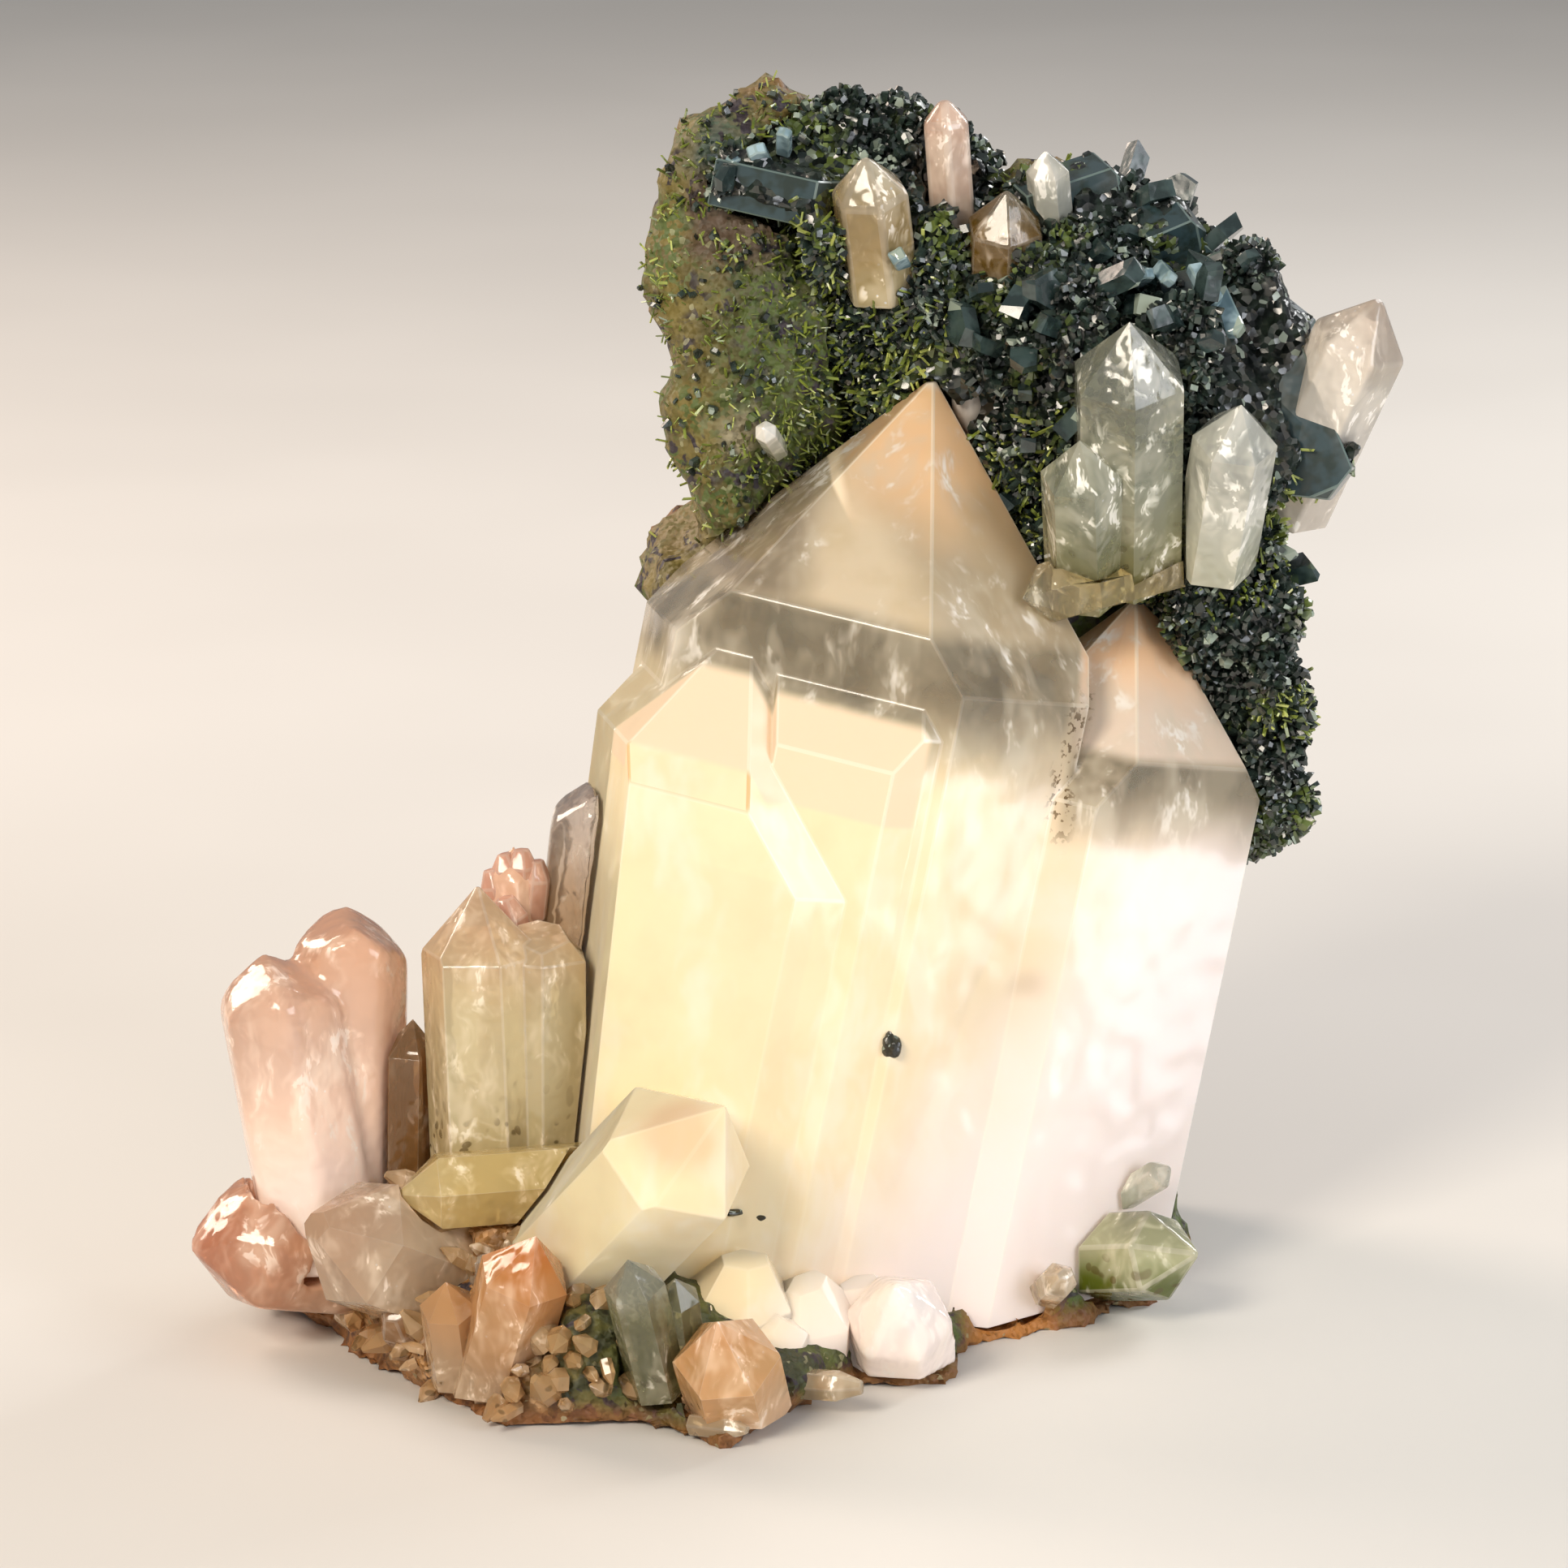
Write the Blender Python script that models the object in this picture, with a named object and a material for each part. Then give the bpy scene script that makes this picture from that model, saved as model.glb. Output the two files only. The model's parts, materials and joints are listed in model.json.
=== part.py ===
"""A mineral specimen: epidote druse and quartz crystals on their matrix rock, cut flat to stand.

Lengths in this file are written in millimetres and turned to metres by MM.
+Z is up, -Y is the front, and the origin is on the flat cut under the middle of the specimen.
"""

import itertools
import math
import random

import bmesh
import bpy
from mathutils import Matrix, Vector, noise

MM = 0.001
GAP = 0.3
SEED = 11
CUT_DEPTH = 6.0
FAR = 60.0

# The base slab that joins the lumps of the matrix
BASE_THICKNESS = 3.0
BASE_MIDDLE = Vector((-2.0, 1.0, 0.0))
FOOT_SWELL = 0.5
TOP_INSET = 1.4
INSET_WAVE = 0.5
TOP_WAVE = 0.6

# Quartz: the slope of a pyramid face, as the angle between its normal and the crystal's long axis
QUARTZ_SLOPE = math.radians(51.8)

# The large quartz group: parallel crystals that share one direction
GROUP_LEAN_RIGHT = math.radians(11.3)
GROUP_LEAN_BACK = math.radians(5.8)
GROUP_TURN = 251.0
MAIN_TIP = (8.4, 8.0, 59.0)
GROUP_FOOT_Z = -2.0
LOWEST_CRYSTAL = 0.9

# The flat cut that the specimen stands on, anticlockwise from the left end
FOOTPRINT = [
    (-35.0, 1.0),
    (-30.0, -3.5),
    (-26.5, -12.0),
    (-22.5, -16.5),
    (-18.5, -22.5),
    (-13.5, -21.8),
    (-8.0, -24.5),
    (-4.0, -27.0),
    (-2.0, -19.5),
    (4.0, -16.5),
    (9.0, -14.0),
    (9.6, -9.5),
    (15.3, -4.8),
    (19.0, -2.0),
    (23.5, 2.0),
    (25.5, 10.0),
    (23.0, 20.0),
    (11.0, 26.0),
    (-11.0, 24.5),
    (-26.0, 15.0),
]

# Lumps of the matrix, each by the corners of its hull
LEFT_MOUND = [
    (-34.0, 1.0, 0.8),
    (-32.5, -1.0, 7.0),
    (-28.5, -10.0, 6.0),
    (-25.5, -12.0, 1.0),
    (-22.0, -16.0, 6.5),
    (-17.5, -20.5, 1.0),
    (-15.5, -18.5, 8.0),
    (-18.0, -11.5, 11.5),
    (-26.0, -5.0, 10.5),
    (-10.0, -11.0, 12.0),
    (-11.0, 3.0, 16.0),
    (-25.0, 7.0, 11.0),
    (-29.0, 11.0, 1.0),
    (-9.0, 17.0, 2.0),
]
FRONT_LEDGE = [
    (-17.0, -20.8, 1.0),
    (-13.5, -20.2, 8.5),
    (-8.0, -23.5, 1.0),
    (-8.5, -20.0, 6.5),
    (-4.2, -25.8, 1.2),
    (-4.5, -23.0, 4.0),
    (-3.5, -16.0, 5.5),
    (3.0, -15.0, 2.5),
    (-11.0, -9.0, 11.0),
    (1.0, -5.0, 3.0),
]
BACK_WALL = [
    (-12.0, 24.0, 1.5),
    (-13.0, 10.0, 12.0),
    (-11.0, 15.0, 30.0),
    (-8.2, 10.5, 45.5),
    (-8.2, 23.0, 46.0),
    (21.0, 23.0, 1.5),
    (22.0, 10.0, 5.0),
    (23.0, 12.0, 24.0),
    (25.0, 24.0, 28.0),
    (25.0, 11.0, 46.0),
    (24.0, 23.0, 48.0),
    (5.0, 27.0, 22.0),
    (-5.0, 26.0, 10.0),
]
RIGHT_FOOT = [
    (13.0, -3.0, 1.0),
    (22.5, 2.0, 0.9),
    (23.0, 5.0, 5.0),
    (24.5, 10.0, 1.0),
    (23.0, 13.0, 8.0),
    (9.0, 19.0, 2.0),
    (21.0, 21.0, 2.0),
]
UPPER_WALL = [
    (-5.8, 8.5, 44.5),
    (-5.4, 7.5, 50.0),
    (-7.2, 9.0, 60.0),
    (-9.3, 12.0, 67.0),
    (-8.7, 12.0, 71.5),
    (-7.0, 13.5, 74.8),
    (-3.0, 15.0, 75.4),
    (2.0, 16.0, 75.6),
    (0.0, 10.0, 70.0),
    (2.0, 9.5, 60.0),
    (2.0, 10.0, 50.0),
    (5.0, 11.0, 44.0),
    (-5.0, 24.0, 46.0),
    (-5.0, 25.0, 60.0),
    (-4.0, 23.0, 71.0),
    (9.0, 24.0, 72.0),
    (13.0, 26.0, 50.0),
]
UPPER_BACK = [
    (3.0, 17.0, 44.0),
    (5.0, 15.5, 72.0),
    (23.0, 17.0, 68.0),
    (28.0, 16.0, 58.0),
    (27.0, 16.0, 46.0),
    (23.0, 24.0, 46.0),
    (24.0, 24.5, 60.0),
    (9.0, 26.0, 68.0),
    (1.0, 26.0, 46.0),
]
MATRIX_LUMPS = [LEFT_MOUND, FRONT_LEDGE, BACK_WALL, RIGHT_FOOT, UPPER_WALL, UPPER_BACK]

# Lumps of the epidote druse
CROWN_TOP = [
    (-4.0, 12.5, 71.5),
    (1.5, 8.5, 66.0),
    (-0.5, 13.0, 75.3),
    (4.3, 15.0, 76.0),
    (8.5, 14.0, 74.2),
    (11.5, 11.5, 70.5),
    (9.0, 7.0, 66.0),
    (4.0, 20.0, 72.0),
    (13.0, 20.0, 70.0),
]
CROWN_MIDDLE = [
    (3.0, 9.0, 67.0),
    (2.0, 10.5, 60.0),
    (3.5, 12.0, 50.0),
    (11.0, 12.5, 48.0),
    (11.5, 9.5, 58.0),
    (13.0, 7.5, 67.0),
    (15.0, 10.5, 71.0),
    (21.5, 11.5, 70.0),
    (27.0, 10.5, 65.0),
    (30.0, 8.5, 58.0),
    (29.0, 5.5, 52.0),
    (25.0, 3.0, 48.5),
    (21.0, 2.5, 56.0),
    (21.0, 4.5, 64.0),
    (30.5, 11.0, 48.0),
    (9.0, 19.0, 46.0),
    (26.0, 19.0, 47.0),
    (24.0, 19.0, 68.0),
]
CROWN_SHELF = [
    (13.0, 6.0, 48.0),
    (17.0, 3.5, 49.0),
    (23.0, 3.0, 48.5),
    (29.5, 4.0, 48.5),
    (31.0, 7.5, 49.5),
    (30.0, 8.0, 44.5),
    (21.0, 6.5, 46.6),
    (14.0, 13.0, 45.5),
    (29.0, 15.0, 45.0),
    (16.0, 10.0, 53.0),
    (27.0, 9.0, 54.0),
]
FLANK_UPPER = [
    (23.5, 5.5, 46.0),
    (27.0, 4.0, 45.0),
    (30.8, 6.0, 44.8),
    (31.8, 8.0, 42.3),
    (30.8, 6.5, 40.8),
    (25.0, 6.5, 38.5),
    (26.0, 13.0, 38.0),
    (30.5, 13.0, 42.0),
    (24.0, 15.0, 45.0),
]
FLANK_LOWER = [
    (26.5, 6.0, 40.6),
    (30.5, 5.5, 40.3),
    (32.6, 7.5, 37.8),
    (32.4, 7.0, 34.5),
    (31.8, 7.5, 29.8),
    (29.8, 7.5, 27.6),
    (27.6, 9.5, 27.8),
    (26.0, 12.0, 33.0),
    (30.0, 12.0, 30.5),
    (30.5, 13.0, 38.5),
    (25.0, 13.5, 40.0),
]
DRUSE_LUMPS = [CROWN_TOP, CROWN_MIDDLE, CROWN_SHELF, FLANK_UPPER, FLANK_LOWER]

# Large epidote blades: foot, tip, width, thickness and turn about the blade
BLADES = [
    ((26.0, 9.5, 66.0), (33.4, 6.6, 51.8), 6.2, 2.4, 12.0),
    ((23.5, 11.5, 66.2), (32.0, 10.0, 59.6), 4.2, 2.4, 20.0),
    ((24.5, 7.5, 61.0), (30.0, 4.4, 52.2), 5.0, 2.6, -15.0),
    ((14.0, 11.0, 68.6), (20.4, 13.0, 70.4), 4.0, 3.2, 10.0),
    ((21.5, 10.0, 66.8), (25.2, 11.0, 68.2), 3.8, 3.2, 25.0),
    ((-5.0, 11.5, 71.0), (2.6, 9.5, 69.6), 4.6, 3.0, 65.0),
    ((13.5, 6.0, 63.0), (18.0, 2.8, 61.5), 3.4, 2.4, 30.0),
    ((17.5, 5.0, 66.0), (17.4, 2.6, 60.0), 3.0, 2.6, 0.0),
    ((23.5, 4.0, 64.5), (24.0, 2.2, 58.6), 3.6, 2.4, 15.0),
]

# The broken surface of each mass: voxel, height, width, swelling outwards, share of faces kept
MATRIX_GRAIN = (1.0, 1.3, 7.0, 0.25, 0.12)
DRUSE_GRAIN = (0.9, 1.2, 4.0, 0.05, 0.17)

# Within that grain: how much of it is a finer swell, how much is flat facets, and their sizes
FINE_SWELL = 0.5
FINE_SIZE = 1 / 2.1
FACET_SHARE = 0.35
FACET_SIZE = 1 / 2.3

# The hollow of the wall under the druse: growth, voxel and share of faces kept
SEAT_GROWTH = 1.0
SEAT_VOXEL = 1.0
SEAT_SHARE = 0.08

# The roof-shaped end of an epidote crystal: how steep its two faces and its front slope are, and
# how far out from the middle the front slope starts, as a share of the thickness
ROOF_STEEPNESS = 0.55
FRONT_STEEPNESS = 0.8
FRONT_SLOPE_START = 0.3

# Blocky epidote crystals scattered over the druse, none behind or left of these places
BLOCK_COUNT = 70
BLOCK_LENGTH = (2.2, 4.6)
BLOCK_WIDTH = (1.2, 2.6)
BLOCK_FLATNESS = (0.45, 0.8)
BLOCK_SWAY = 0.5
BLOCK_SHARE_BURIED = 0.7
DEEPEST_BLOCK = 15.0
LEFTMOST_BLOCK = -2.0


def clear_scene():
    for obj in list(bpy.data.objects):
        bpy.data.objects.remove(obj, do_unlink=True)


def srgb(value):
    return value / 12.92 if value <= 0.04045 else ((value + 0.055) / 1.055) ** 2.4


def material(name, colour, roughness):
    """A Principled material from an sRGB hex colour."""
    made = bpy.data.materials.new(name)
    made.use_nodes = True
    shader = made.node_tree.nodes["Principled BSDF"]
    parts = [srgb(int(colour[i : i + 2], 16) / 255) for i in (0, 2, 4)]
    shader.inputs["Base Color"].default_value = (*parts, 1.0)
    shader.inputs["Roughness"].default_value = roughness
    shader.inputs["Metallic"].default_value = 0.0
    made.diffuse_color = (*parts, 1.0)
    return made


def object_from(name, bm, finish=None):
    """A mesh object from a bmesh in millimetres."""
    bmesh.ops.scale(bm, vec=(MM, MM, MM), verts=bm.verts)
    bmesh.ops.recalc_face_normals(bm, faces=bm.faces)
    mesh = bpy.data.meshes.new(name)
    bm.to_mesh(mesh)
    bm.free()
    made = bpy.data.objects.new(name, mesh)
    bpy.context.scene.collection.objects.link(made)
    if finish:
        mesh.materials.append(finish)
    else:
        made.hide_render = True
        made.display_type = "WIRE"
    return made


def axis_frame(direction):
    """Two directions square to an axis, the first as near to +X as it can be."""
    guide = Vector((1, 0, 0)) if abs(direction.x) < 0.9 else Vector((0, 0, 1))
    across = (guide - guide.dot(direction) * direction).normalized()
    return across, direction.cross(across)


def solid_between(planes):
    """The solid that a set of planes encloses, each a point on it and its outward direction."""
    sides = [(normal.normalized(), point.dot(normal.normalized())) for point, normal in planes]
    corners = []
    for trio in itertools.combinations(sides, 3):
        rows = Matrix([normal for normal, _ in trio])
        if abs(rows.determinant()) < 1e-4:
            continue
        corner = rows.inverted() @ Vector([distance for _, distance in trio])
        inside = all(normal.dot(corner) < distance + 1e-3 for normal, distance in sides)
        if inside and all((corner - other).length > 1e-2 for other in corners):
            corners.append(corner)
    bm = bmesh.new()
    for corner in corners:
        bm.verts.new(corner)
    bmesh.ops.convex_hull(bm, input=bm.verts)
    edges = bm.edges[:]
    bmesh.ops.dissolve_limit(bm, angle_limit=math.radians(0.5), verts=bm.verts, edges=edges)
    return bm


def crystal_mesh(foot, tip, sides, drops, turn, leans, worn, grow=0.0):
    """A six-sided quartz crystal between two points of its axis.

    sides are the six face distances from the axis at the foot, leans the degrees by which each
    face opens outwards going up, drops say how far below the tip each pyramid face would cross
    the axis, worn gives the blunt faces of a worn tip, each as how far below the tip it crosses
    the axis and how it tilts, and grow pushes every face outwards.
    """
    foot, tip = Vector(foot), Vector(tip)
    axis = (tip - foot).normalized()
    across, up = axis_frame(axis)
    planes = [
        (foot - axis * grow, -axis),
        (Vector((0, 0, LOWEST_CRYSTAL - grow)), Vector((0, 0, -1))),
    ]
    for k in range(6):
        angle = math.radians(turn + 60 * k)
        outward = math.cos(angle) * across + math.sin(angle) * up
        lean = math.radians(leans[k])
        wall = math.cos(lean) * outward - math.sin(lean) * axis
        planes.append((foot + outward * sides[k] + wall * grow, wall))
        slope = math.sin(QUARTZ_SLOPE) * outward + math.cos(QUARTZ_SLOPE) * axis
        planes.append((tip - axis * drops[k] + slope * grow, slope))
    for depth, tilt in worn:
        blunt = (axis + Vector(tilt)).normalized()
        planes.append((tip - axis * depth + blunt * grow, blunt))
    return solid_between(planes)


def blade_mesh(foot, tip, width, thickness, turn):
    """A flat epidote crystal with a roof-shaped end."""
    foot, tip = Vector(foot), Vector(tip)
    axis = (tip - foot).normalized()
    across, up = axis_frame(axis)
    angle = math.radians(turn)
    wide = math.cos(angle) * across + math.sin(angle) * up
    thin = axis.cross(wide)
    planes = [(foot, -axis)]
    for way in (1, -1):
        planes.append((foot + wide * way * width / 2, wide * way))
        planes.append((foot + thin * way * thickness / 2, thin * way))
        planes.append((tip, (axis + wide * way * ROOF_STEEPNESS).normalized()))
    slope = (axis * FRONT_STEEPNESS + thin).normalized()
    planes.append((tip + thin * thickness * FRONT_SLOPE_START, slope))
    return solid_between(planes)


def hull_mesh(points):
    """The hull of a list of corners."""
    bm = bmesh.new()
    for point in points:
        bm.verts.new(point)
    made = bmesh.ops.convex_hull(bm, input=bm.verts)
    loose = [item for item in made["geom_interior"] if isinstance(item, bmesh.types.BMVert)]
    bmesh.ops.delete(bm, geom=loose, context="VERTS")
    return bm


def slab_mesh():
    """The base: the footprint drawn up to a smaller, uneven top, deeper than the flat cut."""
    bm = bmesh.new()
    rim = []
    for x, y in FOOTPRINT:
        outward = (Vector((x, y, 0.0)) - BASE_MIDDLE).normalized() * FOOT_SWELL
        rim.append(bm.verts.new((x + outward.x, y + outward.y, -CUT_DEPTH)))
    face = bm.faces.new(rim)
    raised = bmesh.ops.extrude_face_region(bm, geom=[face])
    top = [item for item in raised["geom"] if isinstance(item, bmesh.types.BMVert)]
    for index, vert in enumerate(top):
        inward = BASE_MIDDLE - vert.co
        inward = Vector((inward.x, inward.y, 0.0)).normalized()
        vert.co += inward * (TOP_INSET + INSET_WAVE * math.sin(2.3 * index))
        vert.co.z = BASE_THICKNESS + TOP_WAVE * math.sin(1.7 * index)
    return bm


def box_mesh(low, high):
    """A box between two corners."""
    bm = bmesh.new()
    bmesh.ops.create_cube(bm, size=1.0)
    low, high = Vector(low), Vector(high)
    bmesh.ops.scale(bm, vec=high - low, verts=bm.verts)
    bmesh.ops.translate(bm, vec=(low + high) / 2, verts=bm.verts)
    return bm


def roughen(obj, voxel, height, width, swelling, share):
    """Gives a joined mass the broken surface of stone: ledges and pits of the given size."""
    remesh = obj.modifiers.new("grain", "REMESH")
    remesh.mode = "VOXEL"
    remesh.voxel_size = voxel * MM
    settle(obj)
    for vert, normal in [(vert, vert.normal.copy()) for vert in obj.data.vertices]:
        place = vert.co / (width * MM)
        swell = noise.noise(place) + FINE_SWELL * noise.noise(place / FINE_SIZE)
        facet = noise.cell_vector(place / FACET_SIZE) - Vector((0.5, 0.5, 0.5))
        vert.co += (normal * (swell + swelling) + facet * FACET_SHARE) * height * MM
    thin = obj.modifiers.new("facets", "DECIMATE")
    thin.ratio = share
    settle(obj)


def seat_of(obj):
    """The hollow that a mass grows in: the mass itself, drawn outwards and rounded."""
    made = bpy.data.objects.new(f"{obj.name}_seat", obj.data.copy())
    bpy.context.scene.collection.objects.link(made)
    made.hide_render = True
    made.display_type = "WIRE"
    grown = made.modifiers.new("growth", "DISPLACE")
    grown.strength = SEAT_GROWTH * MM
    grown.mid_level = 0.0
    rounded = made.modifiers.new("rounding", "REMESH")
    rounded.mode = "VOXEL"
    rounded.voxel_size = SEAT_VOXEL * MM
    thin = made.modifiers.new("facets", "DECIMATE")
    thin.ratio = SEAT_SHARE
    return made


def helper(name, bm):
    return object_from(name, bm)


def group(name, objects):
    """A collection that a Boolean can take as one operand."""
    made = bpy.data.collections.new(name)
    for obj in objects:
        made.objects.link(obj)
    return made


def boolean(obj, operation, objects, name):
    if not objects:
        return
    modifier = obj.modifiers.new(name, "BOOLEAN")
    modifier.operation = operation
    modifier.solver = "MANIFOLD"
    modifier.operand_type = "COLLECTION"
    modifier.collection = group(f"{obj.name}_{name}", objects)


def largest_piece(bm):
    """Drops the loose chips that a cut leaves, keeping the piece with the most volume."""
    left = set(bm.faces)
    pieces = []
    while left:
        first = left.pop()
        piece, border = {first}, [first]
        while border:
            for edge in border.pop().edges:
                for face in edge.link_faces:
                    if face in left:
                        left.remove(face)
                        piece.add(face)
                        border.append(face)
        pieces.append(piece)
    kept = max(pieces, key=lambda piece: sum(face.calc_area() for face in piece))
    gone = [face for face in bm.faces if face not in kept]
    bmesh.ops.delete(bm, geom=gone, context="FACES")


def settle(obj):
    """Fixes an object's Booleans into its mesh as one piece."""
    graph = bpy.context.evaluated_depsgraph_get()
    mesh = bpy.data.meshes.new_from_object(obj.evaluated_get(graph))
    bm = bmesh.new()
    bm.from_mesh(mesh)
    largest_piece(bm)
    bm.to_mesh(mesh)
    bm.free()
    obj.modifiers.clear()
    obj.data = mesh
    mesh.name = obj.name


def even(width, flat=1.0):
    """Six equal sides, the four that flank the wide faces drawn in by flat."""
    half = width / 2
    return (half, half * flat, half * flat, half, half * flat, half * flat)


LEVEL = (0.0,) * 6


class Crystal:
    """One quartz crystal: its axis, face distances, turn and worn tip."""

    def __init__(self, foot, tip, sides, turn=0.0, drops=LEVEL, leans=LEVEL, worn=()):
        self.values = (foot, tip, sides, drops, turn, leans, worn)

    def mesh(self, grow=0.0):
        return crystal_mesh(*self.values, grow=grow)


def group_axis():
    return Vector((math.tan(GROUP_LEAN_RIGHT), math.tan(GROUP_LEAN_BACK), 1.0))


def foot_below(tip, foot_z=GROUP_FOOT_Z):
    """Where a crystal of the large group, followed down from its tip, meets a height."""
    tip = Vector(tip)
    return tip - group_axis() * (tip.z - foot_z)


def large_group():
    """The parallel crystals and the small one that grows out of their left front face."""
    return [
        Crystal(
            foot_below(MAIN_TIP),
            MAIN_TIP,
            (11.5, 13.9, 11.8, 11.0, 12.0, 14.1),
            GROUP_TURN,
            worn=[(0.35, (-0.35, -0.1, 0.0))],
        ),
        Crystal(
            foot_below(MAIN_TIP),
            MAIN_TIP,
            (18.1, 12.0, 3.0, 8.0, 10.0, 13.7),
            GROUP_TURN,
            (3.8, 16.0, 12.0, 6.0, 6.0, 3.6),
            (0.0, 0.0, 0.0, 0.0, 0.0, 4.4),
        ),
        Crystal(
            foot_below(MAIN_TIP),
            MAIN_TIP,
            (14.5, 13.2, 6.0, 8.0, 8.0, 8.0),
            GROUP_TURN,
            (4.4, 3.9, 8.0, 8.0, 8.0, 8.0),
        ),
        Crystal(
            foot_below((21.3, 8.0, 44.8)),
            (21.3, 8.0, 44.8),
            (9.7, 7.3, 10.0, 9.0, 9.0, 10.0),
            GROUP_TURN,
            (0.0, 0.0, -1.5, 0.0, 0.0, 0.0),
            worn=[(0.3, (0.1, 0.0, 0.0))],
        ),
        Crystal((-13.5, -13.0, 8.0), (-4.5, -21.8, 20.4), even(9.6, 0.9), 40.0),
    ]


def small_quartz():
    """Every smaller quartz piece by its node's name: the crystals joined in it and its colour."""
    return {
        "left_quartz_pair": [
            Crystal(
                (-29.8, -6.0, 5.0),
                (-33.4, -5.5, 26.9),
                even(7.0),
                12.0,
                worn=[(1.4, (0.1, -0.3, 0.0)), (2.0, (-0.6, -0.5, 0.0)), (2.2, (0.7, -0.1, 0.0))],
            ),
            Crystal(
                (-28.8, -3.0, 5.0),
                (-27.9, -2.0, 29.8),
                even(6.6),
                35.0,
                worn=[(2.6, (0.1, -0.2, 0.0)), (2.9, (-0.5, -0.2, 0.0)), (3.1, (0.7, 0.0, 0.0))],
            ),
        ],
        "standing_quartz": [
            Crystal((-19.2, -7.5, 7.0), (-20.0, -6.0, 29.8), even(6.4, 1.1), 20.0),
            Crystal(
                (-16.2, -7.2, 8.0),
                (-16.2, -5.6, 28.6),
                even(5.6),
                5.0,
                worn=[(1.9, (0.05, -0.35, 0.0))],
            ),
        ],
        "clear_round_quartz": [
            Crystal(
                (-15.2, -0.5, 12.0),
                (-12.4, 0.0, 36.6),
                even(5.4),
                worn=[(1.3, (-0.1, -0.2, 0.0)), (1.7, (-0.8, -0.2, 0.0))],
            ),
        ],
        "plated_quartz": [
            Crystal((-18.2, -1.8, 12.0), (-17.9, -1.4, 31.2), even(3.2), 10.0),
        ],
        "smoky_gap_quartz": [
            Crystal((-24.5, -4.5, 8.0), (-24.2, -4.4, 20.6), even(3.4), 15.0),
            Crystal((-23.0, -2.5, 8.0), (-23.0, -2.6, 19.0), even(2.8), 30.0),
        ],
        "lying_quartz": [
            Crystal((-12.5, -12.0, 12.6), (-25.0, -14.0, 12.2), even(4.4, 0.95), 10.0),
        ],
        "low_left_quartz": [
            Crystal(
                (-28.5, -4.5, 5.6),
                (-38.9, -9.6, 8.2),
                even(8.2),
                14.0,
                worn=[(1.6, (0.0, -0.3, 0.1)), (1.9, (0.1, 0.0, 0.6))],
            ),
        ],
        "low_beige_quartz": [
            Crystal(
                (-20.5, -10.0, 5.2),
                (-30.6, -16.5, 11.4),
                even(7.6),
                8.0,
                worn=[(1.0, (0.2, -0.2, 0.0))],
            ),
        ],
        "orange_tipped_quartz": [
            Crystal((-19.0, -17.5, 0.9), (-16.0, -22.0, 12.2), even(5.0), 8.0),
            Crystal((-21.0, -17.0, 1.2), (-21.6, -20.0, 8.6), even(3.2), 20.0),
        ],
        "clear_green_quartz": [
            Crystal((-8.6, -21.0, 2.2), (-10.4, -24.6, 11.6), even(3.3), 25.0),
            Crystal((-6.9, -20.0, 2.4), (-7.6, -22.8, 9.8), even(2.5), 10.0),
        ],
        "orange_rim_quartz": [
            Crystal((-3.8, -21.5, 1.0), (-5.0, -26.2, 8.2), even(5.6, 1.05), 30.0),
        ],
        "milky_quartz_lump": [
            Crystal((6.4, -12.0, 0.6), (5.8, -17.5, 7.6), even(6.0), 22.0),
        ],
        "included_quartz": [
            Crystal((17.0, 1.5, 2.8), (25.2, -5.2, 5.4), even(5.2), 20.0),
        ],
        "rim_nub_quartz": [
            Crystal((20.0, 1.0, 6.8), (23.6, -1.0, 9.8), even(1.8), 0.0),
        ],
        "peach_top_quartz": [
            Crystal((9.8, 11.5, 66.0), (9.0, 11.0, 76.4), even(2.8), 0.0),
        ],
        "golden_quartz": [
            Crystal((5.2, 10.0, 64.0), (4.0, 6.6, 73.4), even(4.4), 15.0),
        ],
        "amber_quartz": [
            Crystal((12.8, 10.0, 65.0), (12.9, 7.6, 71.0), even(4.4), 5.0),
        ],
        "white_top_quartz": [
            Crystal((16.0, 11.0, 67.0), (15.3, 8.8, 73.2), even(2.4), 20.0),
        ],
        "outer_quartz": [
            Crystal((30.6, 10.5, 50.0), (36.2, 5.5, 64.6), even(5.4), 10.0),
        ],
        "grey_green_quartz": [
            Crystal((20.6, 6.0, 47.0), (20.2, -1.6, 64.4), even(6.4), 4.0),
            Crystal((17.9, 4.0, 46.0), (17.2, -1.8, 57.0), even(4.4), 18.0),
        ],
        "white_quartz": [
            Crystal((26.0, 5.5, 47.5), (27.2, -0.6, 59.0), even(4.6), 25.0),
        ],
        "lying_clear_quartz": [
            Crystal((23.0, 5.5, 47.6), (13.8, -0.2, 46.6), even(4.4, 0.85), 0.0),
        ],
        "apex_side_quartz": [
            Crystal(
                (10.4, 11.0, 50.0),
                (10.9, 8.6, 59.6),
                even(2.6),
                worn=[(0.7, (0.0, -0.3, 0.0))],
            ),
        ],
        "wall_quartz": [
            Crystal((-1.4, 9.0, 54.0), (-2.3, 4.6, 56.4), even(1.3), 0.0),
        ],
    }


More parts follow.
